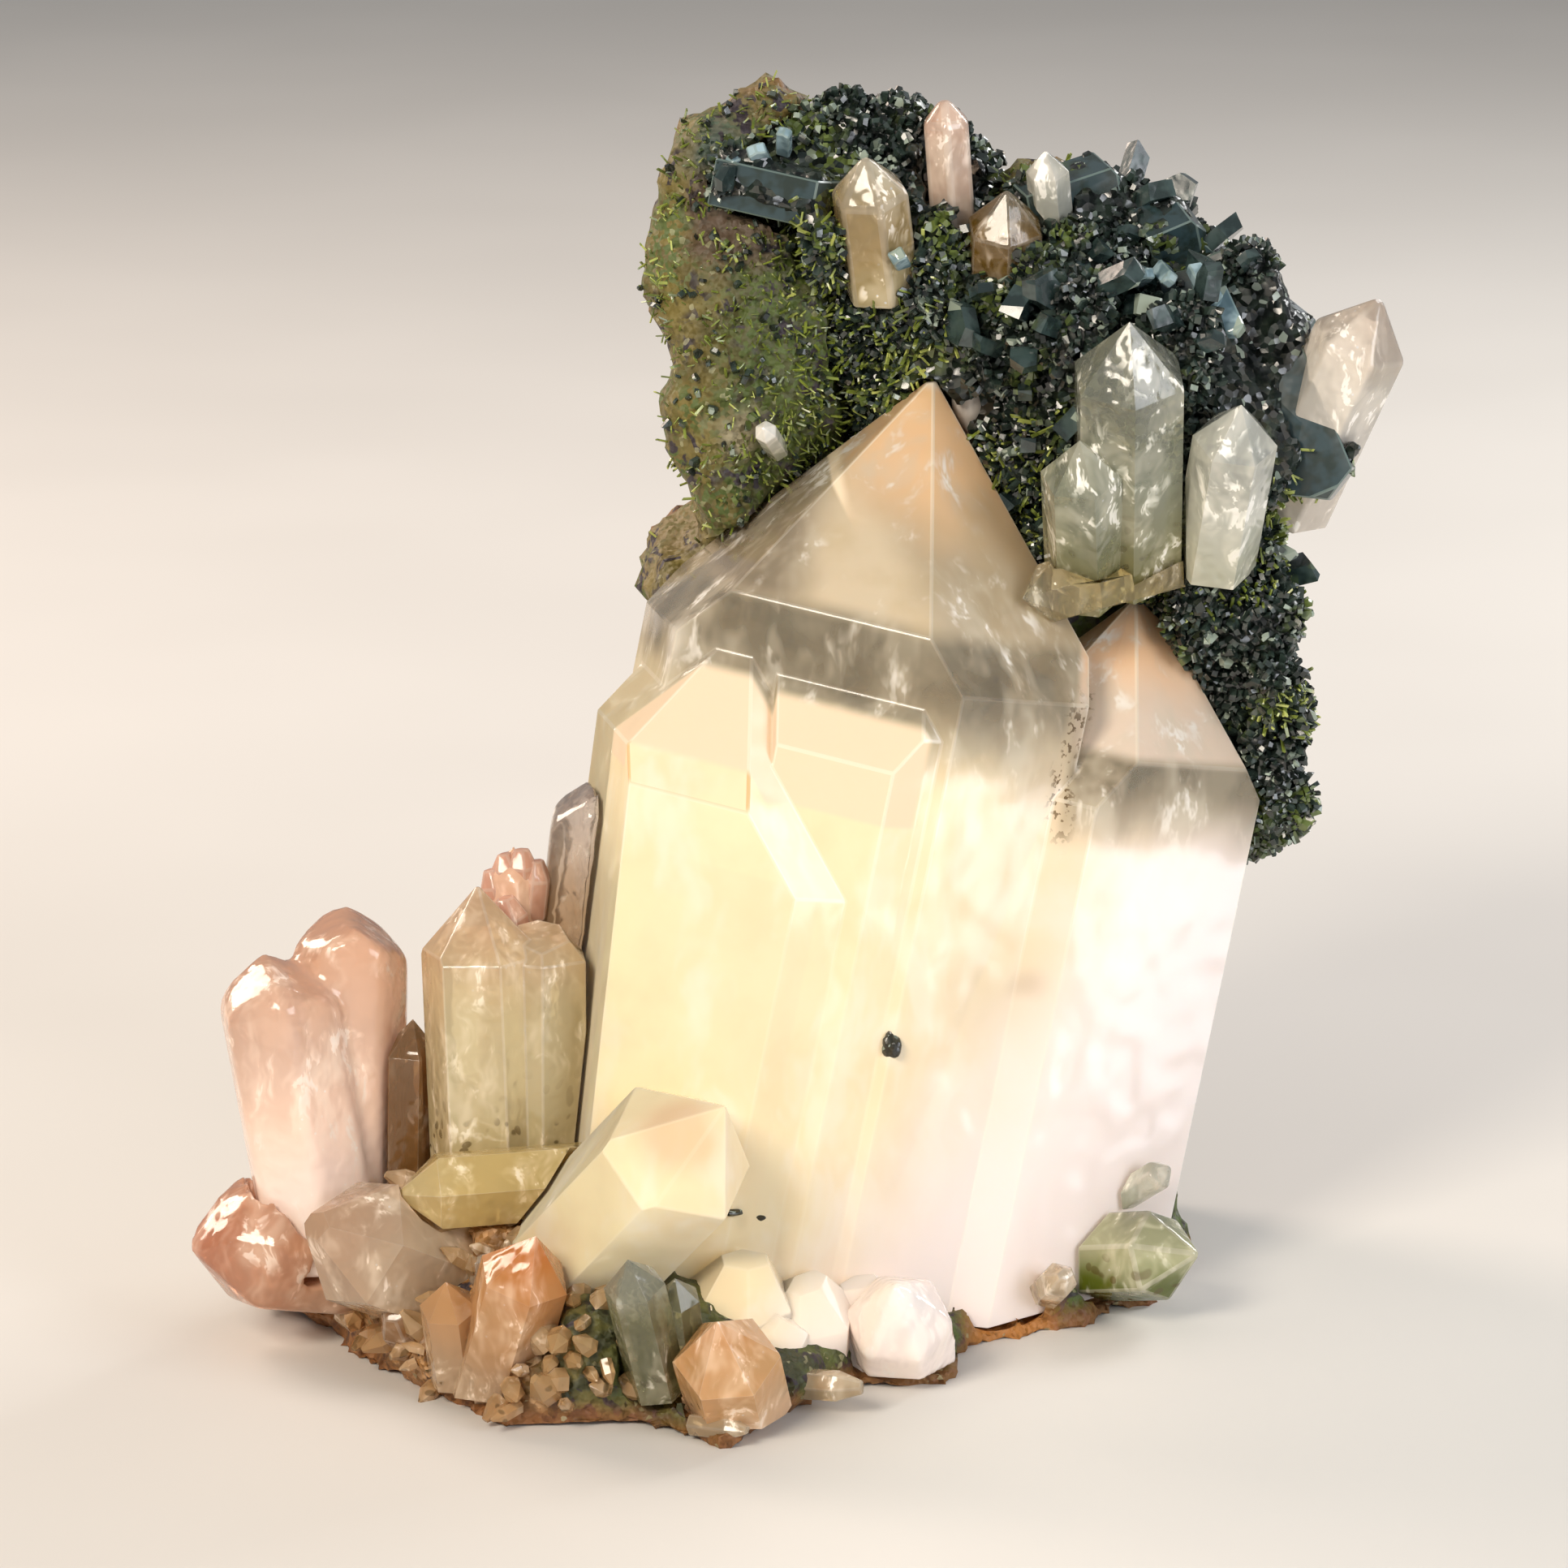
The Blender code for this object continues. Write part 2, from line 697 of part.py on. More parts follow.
FINISHES = {
    "matrix_rock": ("6C6231", 0.9),
    "epidote_druse": ("2E3A33", 0.3),
    "main_quartz_group": ("FDE9B8", 0.15),
    "left_quartz_pair": ("F2C4A4", 0.2),
    "standing_quartz": ("E6CF98", 0.2),
    "clear_round_quartz": ("D9B58E", 0.15),
    "plated_quartz": ("E9BDA6", 0.25),
    "smoky_gap_quartz": ("9A6F3C", 0.3),
    "lying_quartz": ("EBD08A", 0.2),
    "low_left_quartz": ("DE9C74", 0.2),
    "low_beige_quartz": ("E8C49B", 0.2),
    "orange_tipped_quartz": ("E2A468", 0.2),
    "clear_green_quartz": ("8A8A62", 0.12),
    "orange_rim_quartz": ("EBB274", 0.2),
    "milky_quartz_lump": ("FFF0E8", 0.35),
    "included_quartz": ("9C9A5A", 0.15),
    "rim_nub_quartz": ("DAD6C6", 0.15),
    "peach_top_quartz": ("E9C3AC", 0.2),
    "golden_quartz": ("C9A96A", 0.25),
    "amber_quartz": ("B98A35", 0.2),
    "white_top_quartz": ("E6E2DC", 0.15),
    "outer_quartz": ("F1E3D2", 0.12),
    "grey_green_quartz": ("A9AC92", 0.15),
    "white_quartz": ("E9E9DC", 0.12),
    "lying_clear_quartz": ("B8B187", 0.12),
    "apex_side_quartz": ("B5A893", 0.12),
    "wall_quartz": ("E8E6DE", 0.15),
}


def finish_of(name):
    colour, roughness = FINISHES[name]
    return material(name, colour, roughness)


def grow_cutters(name, crystals):
    """The same crystals a gap larger, for the sockets that they grow in."""
    return [
        helper(f"{name}_socket_{index}", crystal.mesh(GAP))
        for index, crystal in enumerate(crystals)
    ]


def joined_crystals(name, crystals, neighbours):
    """Crystals grown together as one object, cut back where earlier neighbours stand."""
    made = object_from(name, crystals[0].mesh(), finish_of(name))
    rest = [
        helper(f"{name}_joined_{index}", crystal.mesh())
        for index, crystal in enumerate(crystals[1:])
    ]
    boolean(made, "UNION", rest, "grown")
    close = [
        other for other in neighbours if any(boxes_meet(one, other) for one in [made, *rest])
    ]
    boolean(made, "DIFFERENCE", close, "neighbours")
    return made


def bounds(obj):
    corners = [vert.co for vert in obj.data.vertices]
    low = Vector([min(corner[i] for corner in corners) for i in range(3)])
    high = Vector([max(corner[i] for corner in corners) for i in range(3)])
    return low, high


def boxes_meet(first, second):
    low_a, high_a = bounds(first)
    low_b, high_b = bounds(second)
    return all(low_a[i] < high_b[i] and low_b[i] < high_a[i] for i in range(3))


def lump_surface(points, count, chance):
    """Points and outward directions spread over a lump by area."""
    bm = hull_mesh(points)
    bmesh.ops.triangulate(bm, faces=bm.faces)
    bmesh.ops.recalc_face_normals(bm, faces=bm.faces)
    faces = bm.faces[:]
    areas = [face.calc_area() for face in faces]
    found = []
    for face in chance.choices(faces, areas, k=count):
        a, b, c = (vert.co for vert in face.verts)
        u, v = chance.random(), chance.random()
        if u + v > 1:
            u, v = 1 - u, 1 - v
        found.append((a + (b - a) * u + (c - a) * v, face.normal.copy()))
    bm.free()
    return found


def druse_blocks():
    """The blocky epidote crystals that stand out of the druse, each as blade_mesh takes it."""
    chance = random.Random(SEED)
    blocks = []
    for lump in DRUSE_LUMPS:
        for point, outward in lump_surface(lump, BLOCK_COUNT // len(DRUSE_LUMPS), chance):
            if point.y > DEEPEST_BLOCK or point.x < LEFTMOST_BLOCK:
                continue
            sway = Vector([chance.uniform(-BLOCK_SWAY, BLOCK_SWAY) for _ in range(3)])
            axis = (outward + sway).normalized()
            length = chance.uniform(*BLOCK_LENGTH)
            width = chance.uniform(*BLOCK_WIDTH)
            thickness = width * chance.uniform(*BLOCK_FLATNESS)
            foot = point - axis * length * BLOCK_SHARE_BURIED
            tip = foot + axis * length
            blocks.append((foot, tip, width, thickness, chance.uniform(0, 180)))
    return blocks


def epidote_crystals(values):
    return [
        helper(f"epidote_crystal_{index}", blade_mesh(*value))
        for index, value in enumerate(values)
    ]


def build():
    clear_scene()
    matrix = object_from("matrix_rock", slab_mesh(), finish_of("matrix_rock"))
    lumps = [
        helper(f"matrix_lump_{index}", hull_mesh(points))
        for index, points in enumerate(MATRIX_LUMPS)
    ]
    boolean(matrix, "UNION", lumps, "lumps")
    roughen(matrix, *MATRIX_GRAIN)
    below = box_mesh((-FAR, -FAR, -FAR), (FAR, FAR, 0.0))
    boolean(matrix, "DIFFERENCE", [helper("below_the_cut", below)], "flat_cut")
    settle(matrix)

    druse = object_from(
        "epidote_druse", hull_mesh(DRUSE_LUMPS[0]), finish_of("epidote_druse")
    )
    masses = [
        helper(f"druse_lump_{index}", hull_mesh(points))
        for index, points in enumerate(DRUSE_LUMPS[1:])
    ]
    boolean(druse, "UNION", masses, "masses")
    roughen(druse, *DRUSE_GRAIN)
    boolean(druse, "UNION", epidote_crystals(BLADES + druse_blocks()), "crystals")

    settle(druse)
    boolean(matrix, "DIFFERENCE", [seat_of(druse)], "seat")

    large = large_group()
    quartz = [joined_crystals("main_quartz_group", large, [])]
    sockets = grow_cutters("main_quartz_group", large)
    for name, crystals in small_quartz().items():
        quartz.append(joined_crystals(name, crystals, sockets))
        sockets += grow_cutters(name, crystals)
    boolean(druse, "DIFFERENCE", sockets, "sockets")
    boolean(matrix, "DIFFERENCE", sockets, "sockets")
    for obj in [matrix, druse, *quartz]:
        settle(obj)


build()
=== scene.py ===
"""Epidote with quartz: the finished surfaces of the specimen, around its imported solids.

Lengths are written in millimetres and turned to metres by MM. +Z is up and -Y is the front.
"""

import json
import math

import bpy
from mathutils import Matrix, Vector, noise

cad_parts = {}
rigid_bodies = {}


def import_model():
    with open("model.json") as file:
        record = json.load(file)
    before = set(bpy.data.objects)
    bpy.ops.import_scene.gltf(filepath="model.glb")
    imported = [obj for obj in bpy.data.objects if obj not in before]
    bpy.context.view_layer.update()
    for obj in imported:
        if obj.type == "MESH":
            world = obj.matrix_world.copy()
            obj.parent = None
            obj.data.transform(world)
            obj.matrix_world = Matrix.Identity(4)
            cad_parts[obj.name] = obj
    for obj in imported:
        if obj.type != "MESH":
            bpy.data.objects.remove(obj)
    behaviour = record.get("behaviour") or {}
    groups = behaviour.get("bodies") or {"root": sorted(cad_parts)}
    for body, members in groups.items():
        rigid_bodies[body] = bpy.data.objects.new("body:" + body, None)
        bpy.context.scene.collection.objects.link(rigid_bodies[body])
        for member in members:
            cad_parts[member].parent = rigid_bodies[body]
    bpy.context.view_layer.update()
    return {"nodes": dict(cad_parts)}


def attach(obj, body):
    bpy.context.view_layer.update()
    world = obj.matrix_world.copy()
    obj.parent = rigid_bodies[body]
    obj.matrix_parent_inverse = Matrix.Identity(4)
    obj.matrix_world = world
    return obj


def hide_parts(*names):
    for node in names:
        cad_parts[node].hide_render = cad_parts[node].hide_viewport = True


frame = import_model()

MM = 0.001

# The camera stands where the photographer did
PHOTO_SIZE = 1932
FOCAL_PIXELS = 9000
CAMERA_TARGET = (-1.0, -7.0, 36.5)
CAMERA_DISTANCE = 450.0
CAMERA_HEIGHT_ANGLE = math.radians(15)

# The large quartz group: its long direction, and the outward directions of its front and right faces
GROUP_AXIS = Vector((0.195, 0.099, 0.976))
GROUP_FRONT = Vector((-0.32, -0.93, 0.16))
GROUP_RIGHT = Vector((0.64, -0.76, -0.05))
# How far out the main crystal's own front and right faces lie
MAIN_FRONT = 10.71
MAIN_RIGHT = 10.19
# The main crystal's pyramid, from the middle of its foot to its tip
MAIN_TIP = ((8.0, 5.5, 50.0), (8.4, 7.5, 61.0))

# Large epidote blades: foot, tip, width, thickness and turn about the blade
BLADES = [
    ((26.8, 10.4, 66.6), (33.2, 5.4, 51.6), 4.4, 2.2, 12.0),
    ((23.5, 11.5, 66.2), (32.0, 10.0, 59.6), 4.2, 2.4, 20.0),
    ((24.2, 10.2, 62.6), (29.2, 4.4, 52.6), 4.0, 2.2, -12.0),
    ((14.0, 11.0, 68.6), (20.4, 13.0, 70.4), 4.0, 3.2, 10.0),
    ((21.5, 10.0, 66.8), (25.2, 11.0, 68.2), 3.8, 3.2, 25.0),
    ((-5.0, 11.5, 71.0), (2.6, 9.5, 69.6), 4.6, 3.0, 86.0),
    ((13.5, 9.0, 63.0), (17.4, 4.6, 61.6), 2.8, 2.0, 30.0),
    ((17.5, 8.0, 66.0), (17.4, 4.4, 61.2), 2.6, 2.0, 0.0),
    ((23.2, 8.6, 65.0), (24.2, 4.2, 59.6), 3.0, 2.0, 15.0),
]


# Small epidote crystals painted pale blue-grey as painted glints, in the same order
FLASHES = [
    ((18.2, 7.0, 65.6), (17.6, 4.2, 62.8), 0.9, 0.8, 20.0),
    ((20.8, 6.5, 65.2), (21.4, 3.8, 66.4), 1.4, 0.7, 10.0),
    ((22.4, 6.5, 66.2), (23.0, 4.2, 65.8), 1.0, 0.8, 50.0),
    ((24.6, 6.0, 66.4), (25.8, 3.6, 64.4), 1.2, 0.8, -10.0),
    ((26.0, 6.0, 64.8), (27.2, 3.8, 62.4), 1.3, 0.9, 15.0),
    ((-2.2, 11.5, 71.6), (-2.8, 8.6, 73.4), 1.2, 0.8, 15.0),
    ((-3.6, 11.5, 71.2), (-4.4, 9.2, 72.6), 1.1, 0.8, 40.0),
    ((-1.0, 11.5, 72.6), (-1.0, 9.2, 74.4), 0.9, 0.7, -20.0),
    ((6.4, 8.5, 66.0), (6.0, 5.6, 67.2), 1.0, 0.9, 30.0),
]


def pick(obj):
    """Makes one object the only one selected, and the active one."""
    bpy.ops.object.select_all(action="DESELECT")
    obj.select_set(True)
    bpy.context.view_layer.objects.active = obj


def edit(obj, kind="FACE", chosen="DESELECT"):
    pick(obj)
    bpy.ops.object.mode_set(mode="EDIT")
    bpy.ops.mesh.select_mode(type=kind)
    bpy.ops.mesh.select_all(action=chosen)


def leave_edit():
    bpy.ops.object.mode_set(mode="OBJECT")


def modify(obj, kind, **settings):
    """Gives an object one modifier and applies it."""
    pick(obj)
    modifier = obj.modifiers.new(kind.title(), kind)
    for key, value in settings.items():
        setattr(modifier, key, value)
    bpy.ops.object.modifier_apply(modifier=modifier.name)


def joined(name, pieces):
    """Several objects as one."""
    pick(pieces[0])
    for piece in pieces:
        piece.select_set(True)
    bpy.ops.object.join()
    pieces[0].name = name
    pieces[0].data.name = name
    return pieces[0]


def stand(obj, foot, tip, turn=0.0):
    """Puts a shape made upright at the origin on its foot, pointing to its tip."""
    foot, tip = Vector(foot), Vector(tip)
    axis = (tip - foot).normalized()
    guide = Vector((1, 0, 0)) if abs(axis.x) < 0.9 else Vector((0, 0, 1))
    across = (guide - guide.dot(axis) * axis).normalized()
    way = Matrix((across, axis.cross(across), axis)).transposed().to_4x4()
    turned = Matrix.Rotation(math.radians(turn), 4, "Z")
    obj.matrix_world = Matrix.Translation(foot * MM) @ way @ turned
    pick(obj)
    bpy.ops.object.transform_apply(location=True, rotation=True, scale=True)


def copy_of_node(name, node):
    """A copy of a CAD solid as one closed skin, its flat faces whole."""
    source = frame["nodes"][node]
    piece = bpy.data.objects.new(name, source.data.copy())
    bpy.context.scene.collection.objects.link(piece)
    piece.data.materials.clear()
    edit(piece, "VERT", "SELECT")
    bpy.ops.mesh.customdata_custom_splitnormals_clear()
    bpy.ops.mesh.remove_doubles(threshold=1e-6)
    bpy.ops.mesh.dissolve_limited(angle_limit=math.radians(1.0))
    leave_edit()
    return piece


def paint(obj, name, amount):
    """A number on every point of a mesh, from its place in millimetres and its outward direction."""
    values = [amount(vert.co / MM, vert.normal) for vert in obj.data.vertices]
    layer = obj.data.attributes.get(name) or obj.data.attributes.new(name, "FLOAT", "POINT")
    layer.data.foreach_set("value", values)


def ramp(value, low, high):
    return min(1.0, max(0.0, (value - low) / (high - low)))


def nearness(point, spots):
    """1 at the middle of any of the spots, each a centre and a reach, and 0 outside them all."""
    return max(1.0 - ramp((point - Vector(centre)).length, r * 0.5, r * 1.2) for centre, r in spots)


def add_piece(piece, finish):
    """Finishes a piece, which ends at the flat cut that the specimen stands on."""
    for vert in piece.data.vertices:
        vert.co.z = max(vert.co.z, 0.0)
    piece.data.materials.clear()
    piece.data.materials.append(finish)
    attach(piece, "root")


def dress(piece, node, finish):
    """Puts a finished piece in the place of its CAD solid."""
    add_piece(piece, finish)
    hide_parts(node)


# Materials


def colour(code):
    """An sRGB hex colour as linear values."""
    parts = [int(code[i : i + 2], 16) / 255 for i in (0, 2, 4)]
    linear = [v / 12.92 if v <= 0.04045 else ((v + 0.055) / 1.055) ** 2.4 for v in parts]
    return (*linear, 1.0)


def add(tree, kind, settings=None, inputs=None):
    """Adds a node. An input takes a number, a colour or another node's output."""
    node = tree.nodes.new(kind)
    for key, value in (settings or {}).items():
        setattr(node, key, value)
    for key, value in (inputs or {}).items():
        if isinstance(value, bpy.types.NodeSocket):
            tree.links.new(value, node.inputs[key])
        else:
            node.inputs[key].default_value = value
    return node


def new_finish(name, roughness, ior):
    """A material with its shader, and the place on the object in millimetres."""
    finish = bpy.data.materials.new(name)
    finish.use_nodes = True
    tree = finish.node_tree
    shader = tree.nodes["Principled BSDF"]
    shader.inputs["Roughness"].default_value = roughness
    shader.inputs["IOR"].default_value = ior
    where = add(tree, "ShaderNodeTexCoord").outputs["Object"]
    scaled = {"Vector": where, "Scale": 1 / MM}
    place = add(tree, "ShaderNodeVectorMath", {"operation": "SCALE"}, scaled).outputs[0]
    return finish, tree, shader, place


def ranged(tree, value, low, high, start=0.0, end=1.0):
    """A number turned smoothly from start, where it is low, to end, where it is high."""
    inputs = {0: value, 1: low, 2: high, 3: start, 4: end}
    return add(tree, "ShaderNodeMapRange", {"interpolation_type": "SMOOTHSTEP"}, inputs).outputs[0]


def clouds(tree, place, size, low, high, detail=2.0):
    """Soft patches of the given size in millimetres: 0 where the noise is under low, 1 over high."""
    inputs = {"Vector": place, "Scale": 1 / size, "Detail": detail}
    pattern = add(tree, "ShaderNodeTexNoise", {}, inputs).outputs["Fac"]
    return ranged(tree, pattern, low, high)


def patch(tree, place, centre, inner, outer):
    """1 within the inner distance of a point, 0 past the outer one."""
    away = add(tree, "ShaderNodeVectorMath", {"operation": "DISTANCE"}, {0: place, 1: centre})
    return ranged(tree, away.outputs["Value"], inner, outer, 1.0, 0.0)


def beyond(tree, place, direction, low, high):
    """0 where a place lies less than low in a direction, 1 where it lies more than high."""
    inputs = {0: place, 1: Vector(direction)}
    reach = add(tree, "ShaderNodeVectorMath", {"operation": "DOT_PRODUCT"}, inputs)
    return ranged(tree, reach.outputs["Value"], low, high)


def wander(tree, place, size, reach):
    """The place, drawn aside by soft noise, so that a border on it isn't a plain curve."""
    inputs = {"Vector": place, "Scale": 1 / size, "Detail": 1.0}
    pattern = add(tree, "ShaderNodeTexNoise", {}, inputs).outputs["Color"]
    middle = {0: pattern, 1: (0.5, 0.5, 0.5)}
    aside = add(tree, "ShaderNodeVectorMath", {"operation": "SUBTRACT"}, middle).outputs[0]
    drawn = {0: aside, 1: (2 * reach,) * 3, 2: place}
    return add(tree, "ShaderNodeVectorMath", {"operation": "MULTIPLY_ADD"}, drawn).outputs[0]


def calculate(tree, first, operation, second, clamp=False):
    settings = {"operation": operation, "use_clamp": clamp}
    return add(tree, "ShaderNodeMath", settings, {0: first, 1: second}).outputs[0]


def times(tree, *values):
    result = values[0]
    for value in values[1:]:
        result = calculate(tree, result, "MULTIPLY", value)
    return result


def layered(tree, under, layers, kind="RGBA"):
    """Colours or numbers laid over each other, each where its mask is."""
    under_socket, over_socket, result = {"RGBA": (6, 7, 2), "FLOAT": (2, 3, 0)}[kind]
    for mask, over in layers:
        inputs = {0: mask, under_socket: under, over_socket: over}
        under = add(tree, "ShaderNodeMix", {"data_type": kind}, inputs).outputs[result]
    return under


def layered_way(tree, outward, share, way):
    """An outward direction, turned by a share to another one."""
    inputs = {0: share, 4: outward, 5: Vector(way)}
    turned = add(tree, "ShaderNodeMix", {"data_type": "VECTOR"}, inputs).outputs[1]
    return add(tree, "ShaderNodeVectorMath", {"operation": "NORMALIZE"}, {0: turned}).outputs[0]


def growth_mark(tree, place):
    """The small triangle that growth left on the large crystal's right face."""
    sides = [((1.0, 0.0, 0.0), 15.0), ((-0.6, 0.0, 0.8), 1.55), ((-0.5, 0.0, -0.87), -19.6)]
    near = patch(tree, place, (15.3, -3.2, 13.5), 0.8, 0.9)
    return times(tree, near, *(beyond(tree, place, way, at, at + 0.08) for way, at in sides), 0.6)


def painted(tree, name):
    return add(tree, "ShaderNodeAttribute", {"attribute_name": name}).outputs["Fac"]


def facets(tree, place, size, tilt):
    """Countless small crystal faces: each cell of the given size faces its own way.

    Gives the outward direction of the faces, and a random number for each.
    """
    cells = add(tree, "ShaderNodeTexVoronoi", {}, {"Vector": place, "Scale": 1 / size})
    middle = {0: cells.outputs["Color"], 1: (0.5, 0.5, 0.5)}
    lean = add(tree, "ShaderNodeVectorMath", {"operation": "SUBTRACT"}, middle).outputs[0]
    outward = add(tree, "ShaderNodeNewGeometry").outputs["Normal"]
    leant = {0: lean, 1: (2 * tilt,) * 3, 2: outward}
    facing = add(tree, "ShaderNodeVectorMath", {"operation": "MULTIPLY_ADD"}, leant).outputs[0]
    facing = add(tree, "ShaderNodeVectorMath", {"operation": "NORMALIZE"}, {0: facing}).outputs[0]
    number = add(tree, "ShaderNodeSeparateColor", {}, {0: cells.outputs["Color"]}).outputs[0]
    return facing, number


def relief(tree, shader, height, depth, facing=None):
    """Fine relief of the given depth in millimetres, on the surface or on its small faces."""
    inputs = {"Height": height, "Distance": depth * MM}
    if facing is not None:
        inputs["Normal"] = facing
    bump = add(tree, "ShaderNodeBump", {}, inputs)
    tree.links.new(bump.outputs[0], shader.inputs["Normal"])


def veils(tree, place, size, low, high):
    """Healed fractures: torn pale sheets of fluid that hang in the crystal along its length."""
    drawn = add(tree, "ShaderNodeVectorMath", {"operation": "MULTIPLY"}, {0: place, 1: (1, 1, 0.45)})
    inputs = {"Vector": drawn.outputs[0], "Scale": 1 / size, "Detail": 3.0, "Roughness": 0.7}
    pattern = add(tree, "ShaderNodeTexNoise", {}, inputs).outputs["Fac"]
    return ranged(tree, pattern, low, high)


def specks(tree, place, size, reach):
    """Small grains caught in the crystal, one in most cells of the given size."""
    cells = add(tree, "ShaderNodeTexVoronoi", {}, {"Vector": place, "Scale": 1 / size})
    return ranged(tree, cells.outputs["Distance"], reach / size * 0.7, reach / size, 1.0, 0.0)


def depth_of_quartz(tree, tint, density):
    """What light loses on its way through the crystal, the same all through it."""
    inputs = {"Color": colour(tint), "Density": density}
    absorbing = add(tree, "ShaderNodeVolumeAbsorption", {}, inputs)
    output = tree.nodes["Material Output"]
    tree.links.new(absorbing.outputs[0], output.inputs["Volume"])


def quartz(name, foot, tip, colours, milk, flecks=0.0, glints=0.5, tint="FFF0D0", density=25.0):
    """Quartz, as it grew: glassy natural faces, cloudy inside near the foot, clearer to the tip.

    colours run from the foot to the tip, milk is how cloudy each end is, flecks how much brown
    grit is caught near the foot, and glints how much of it is white with tiny fractures and
    dotted with painted glints.
    """
    finish, tree, shader, place = new_finish(name, 0.1, 1.544)
    foot, tip = Vector(foot), Vector(tip)
    axis = (tip - foot).normalized()
    start, length = foot.dot(axis), (tip - foot).length
    loose = wander(tree, place, 3.0, 1.2)
    low, middle, high = (colour(code) for code in colours)
    lower = beyond(tree, loose, axis, start + 0.05 * length, start + 0.5 * length)
    upper = beyond(tree, loose, axis, start + 0.6 * length, start + 0.98 * length)
    sheets = veils(tree, loose, 3.0, 0.5 - 0.08 * glints, 0.68)
    torn = times(tree, veils(tree, loose, 1.2, 0.54, 0.62), sheets)
    # White specks painted in as painted glints, within the fracture sheets
    glint = times(tree, specks(tree, place, 0.9, 0.1), sheets, glints)
    layers = [
        (lower, middle),
        (upper, high),
        (times(tree, sheets, 0.3), colour("FFF4E2")),
        (times(tree, torn, glints), colour("FFFBF4")),
        # Painted highlight on the softened edges
        (times(tree, painted(tree, "edge"), 0.25), colour("FFF6E8")),
        (glint, colour("FFFFFF")),
    ]
    if flecks:
        near_foot = beyond(tree, loose, -axis, -start - 0.5 * length, -start - 0.15 * length)
        grit = times(tree, specks(tree, loose, 1.1, 0.36), clouds(tree, place, 3.0, 0.38, 0.44))
        layers.append((times(tree, grit, near_foot, flecks), colour("5E4A22")))
    tree.links.new(layered(tree, low, layers), shader.inputs["Base Color"])
    cloudy = beyond(tree, loose, axis, start + 0.1 * length, start + 0.95 * length)
    cloudy = ranged(tree, cloudy, 0.0, 1.0, milk[0], milk[1])
    cloudy = calculate(tree, cloudy, "ADD", times(tree, sheets, 0.22))
    cloudy = calculate(tree, cloudy, "ADD", times(tree, torn, glints))
    clear = calculate(tree, 1.0, "SUBTRACT", cloudy, clamp=True)
    tree.links.new(clear, shader.inputs["Transmission Weight"])
    depth_of_quartz(tree, tint, density)
    pits = clouds(tree, place, 0.8, 0.3, 0.8, 0.0)
    relief(tree, shader, pits, 0.03)
    return finish


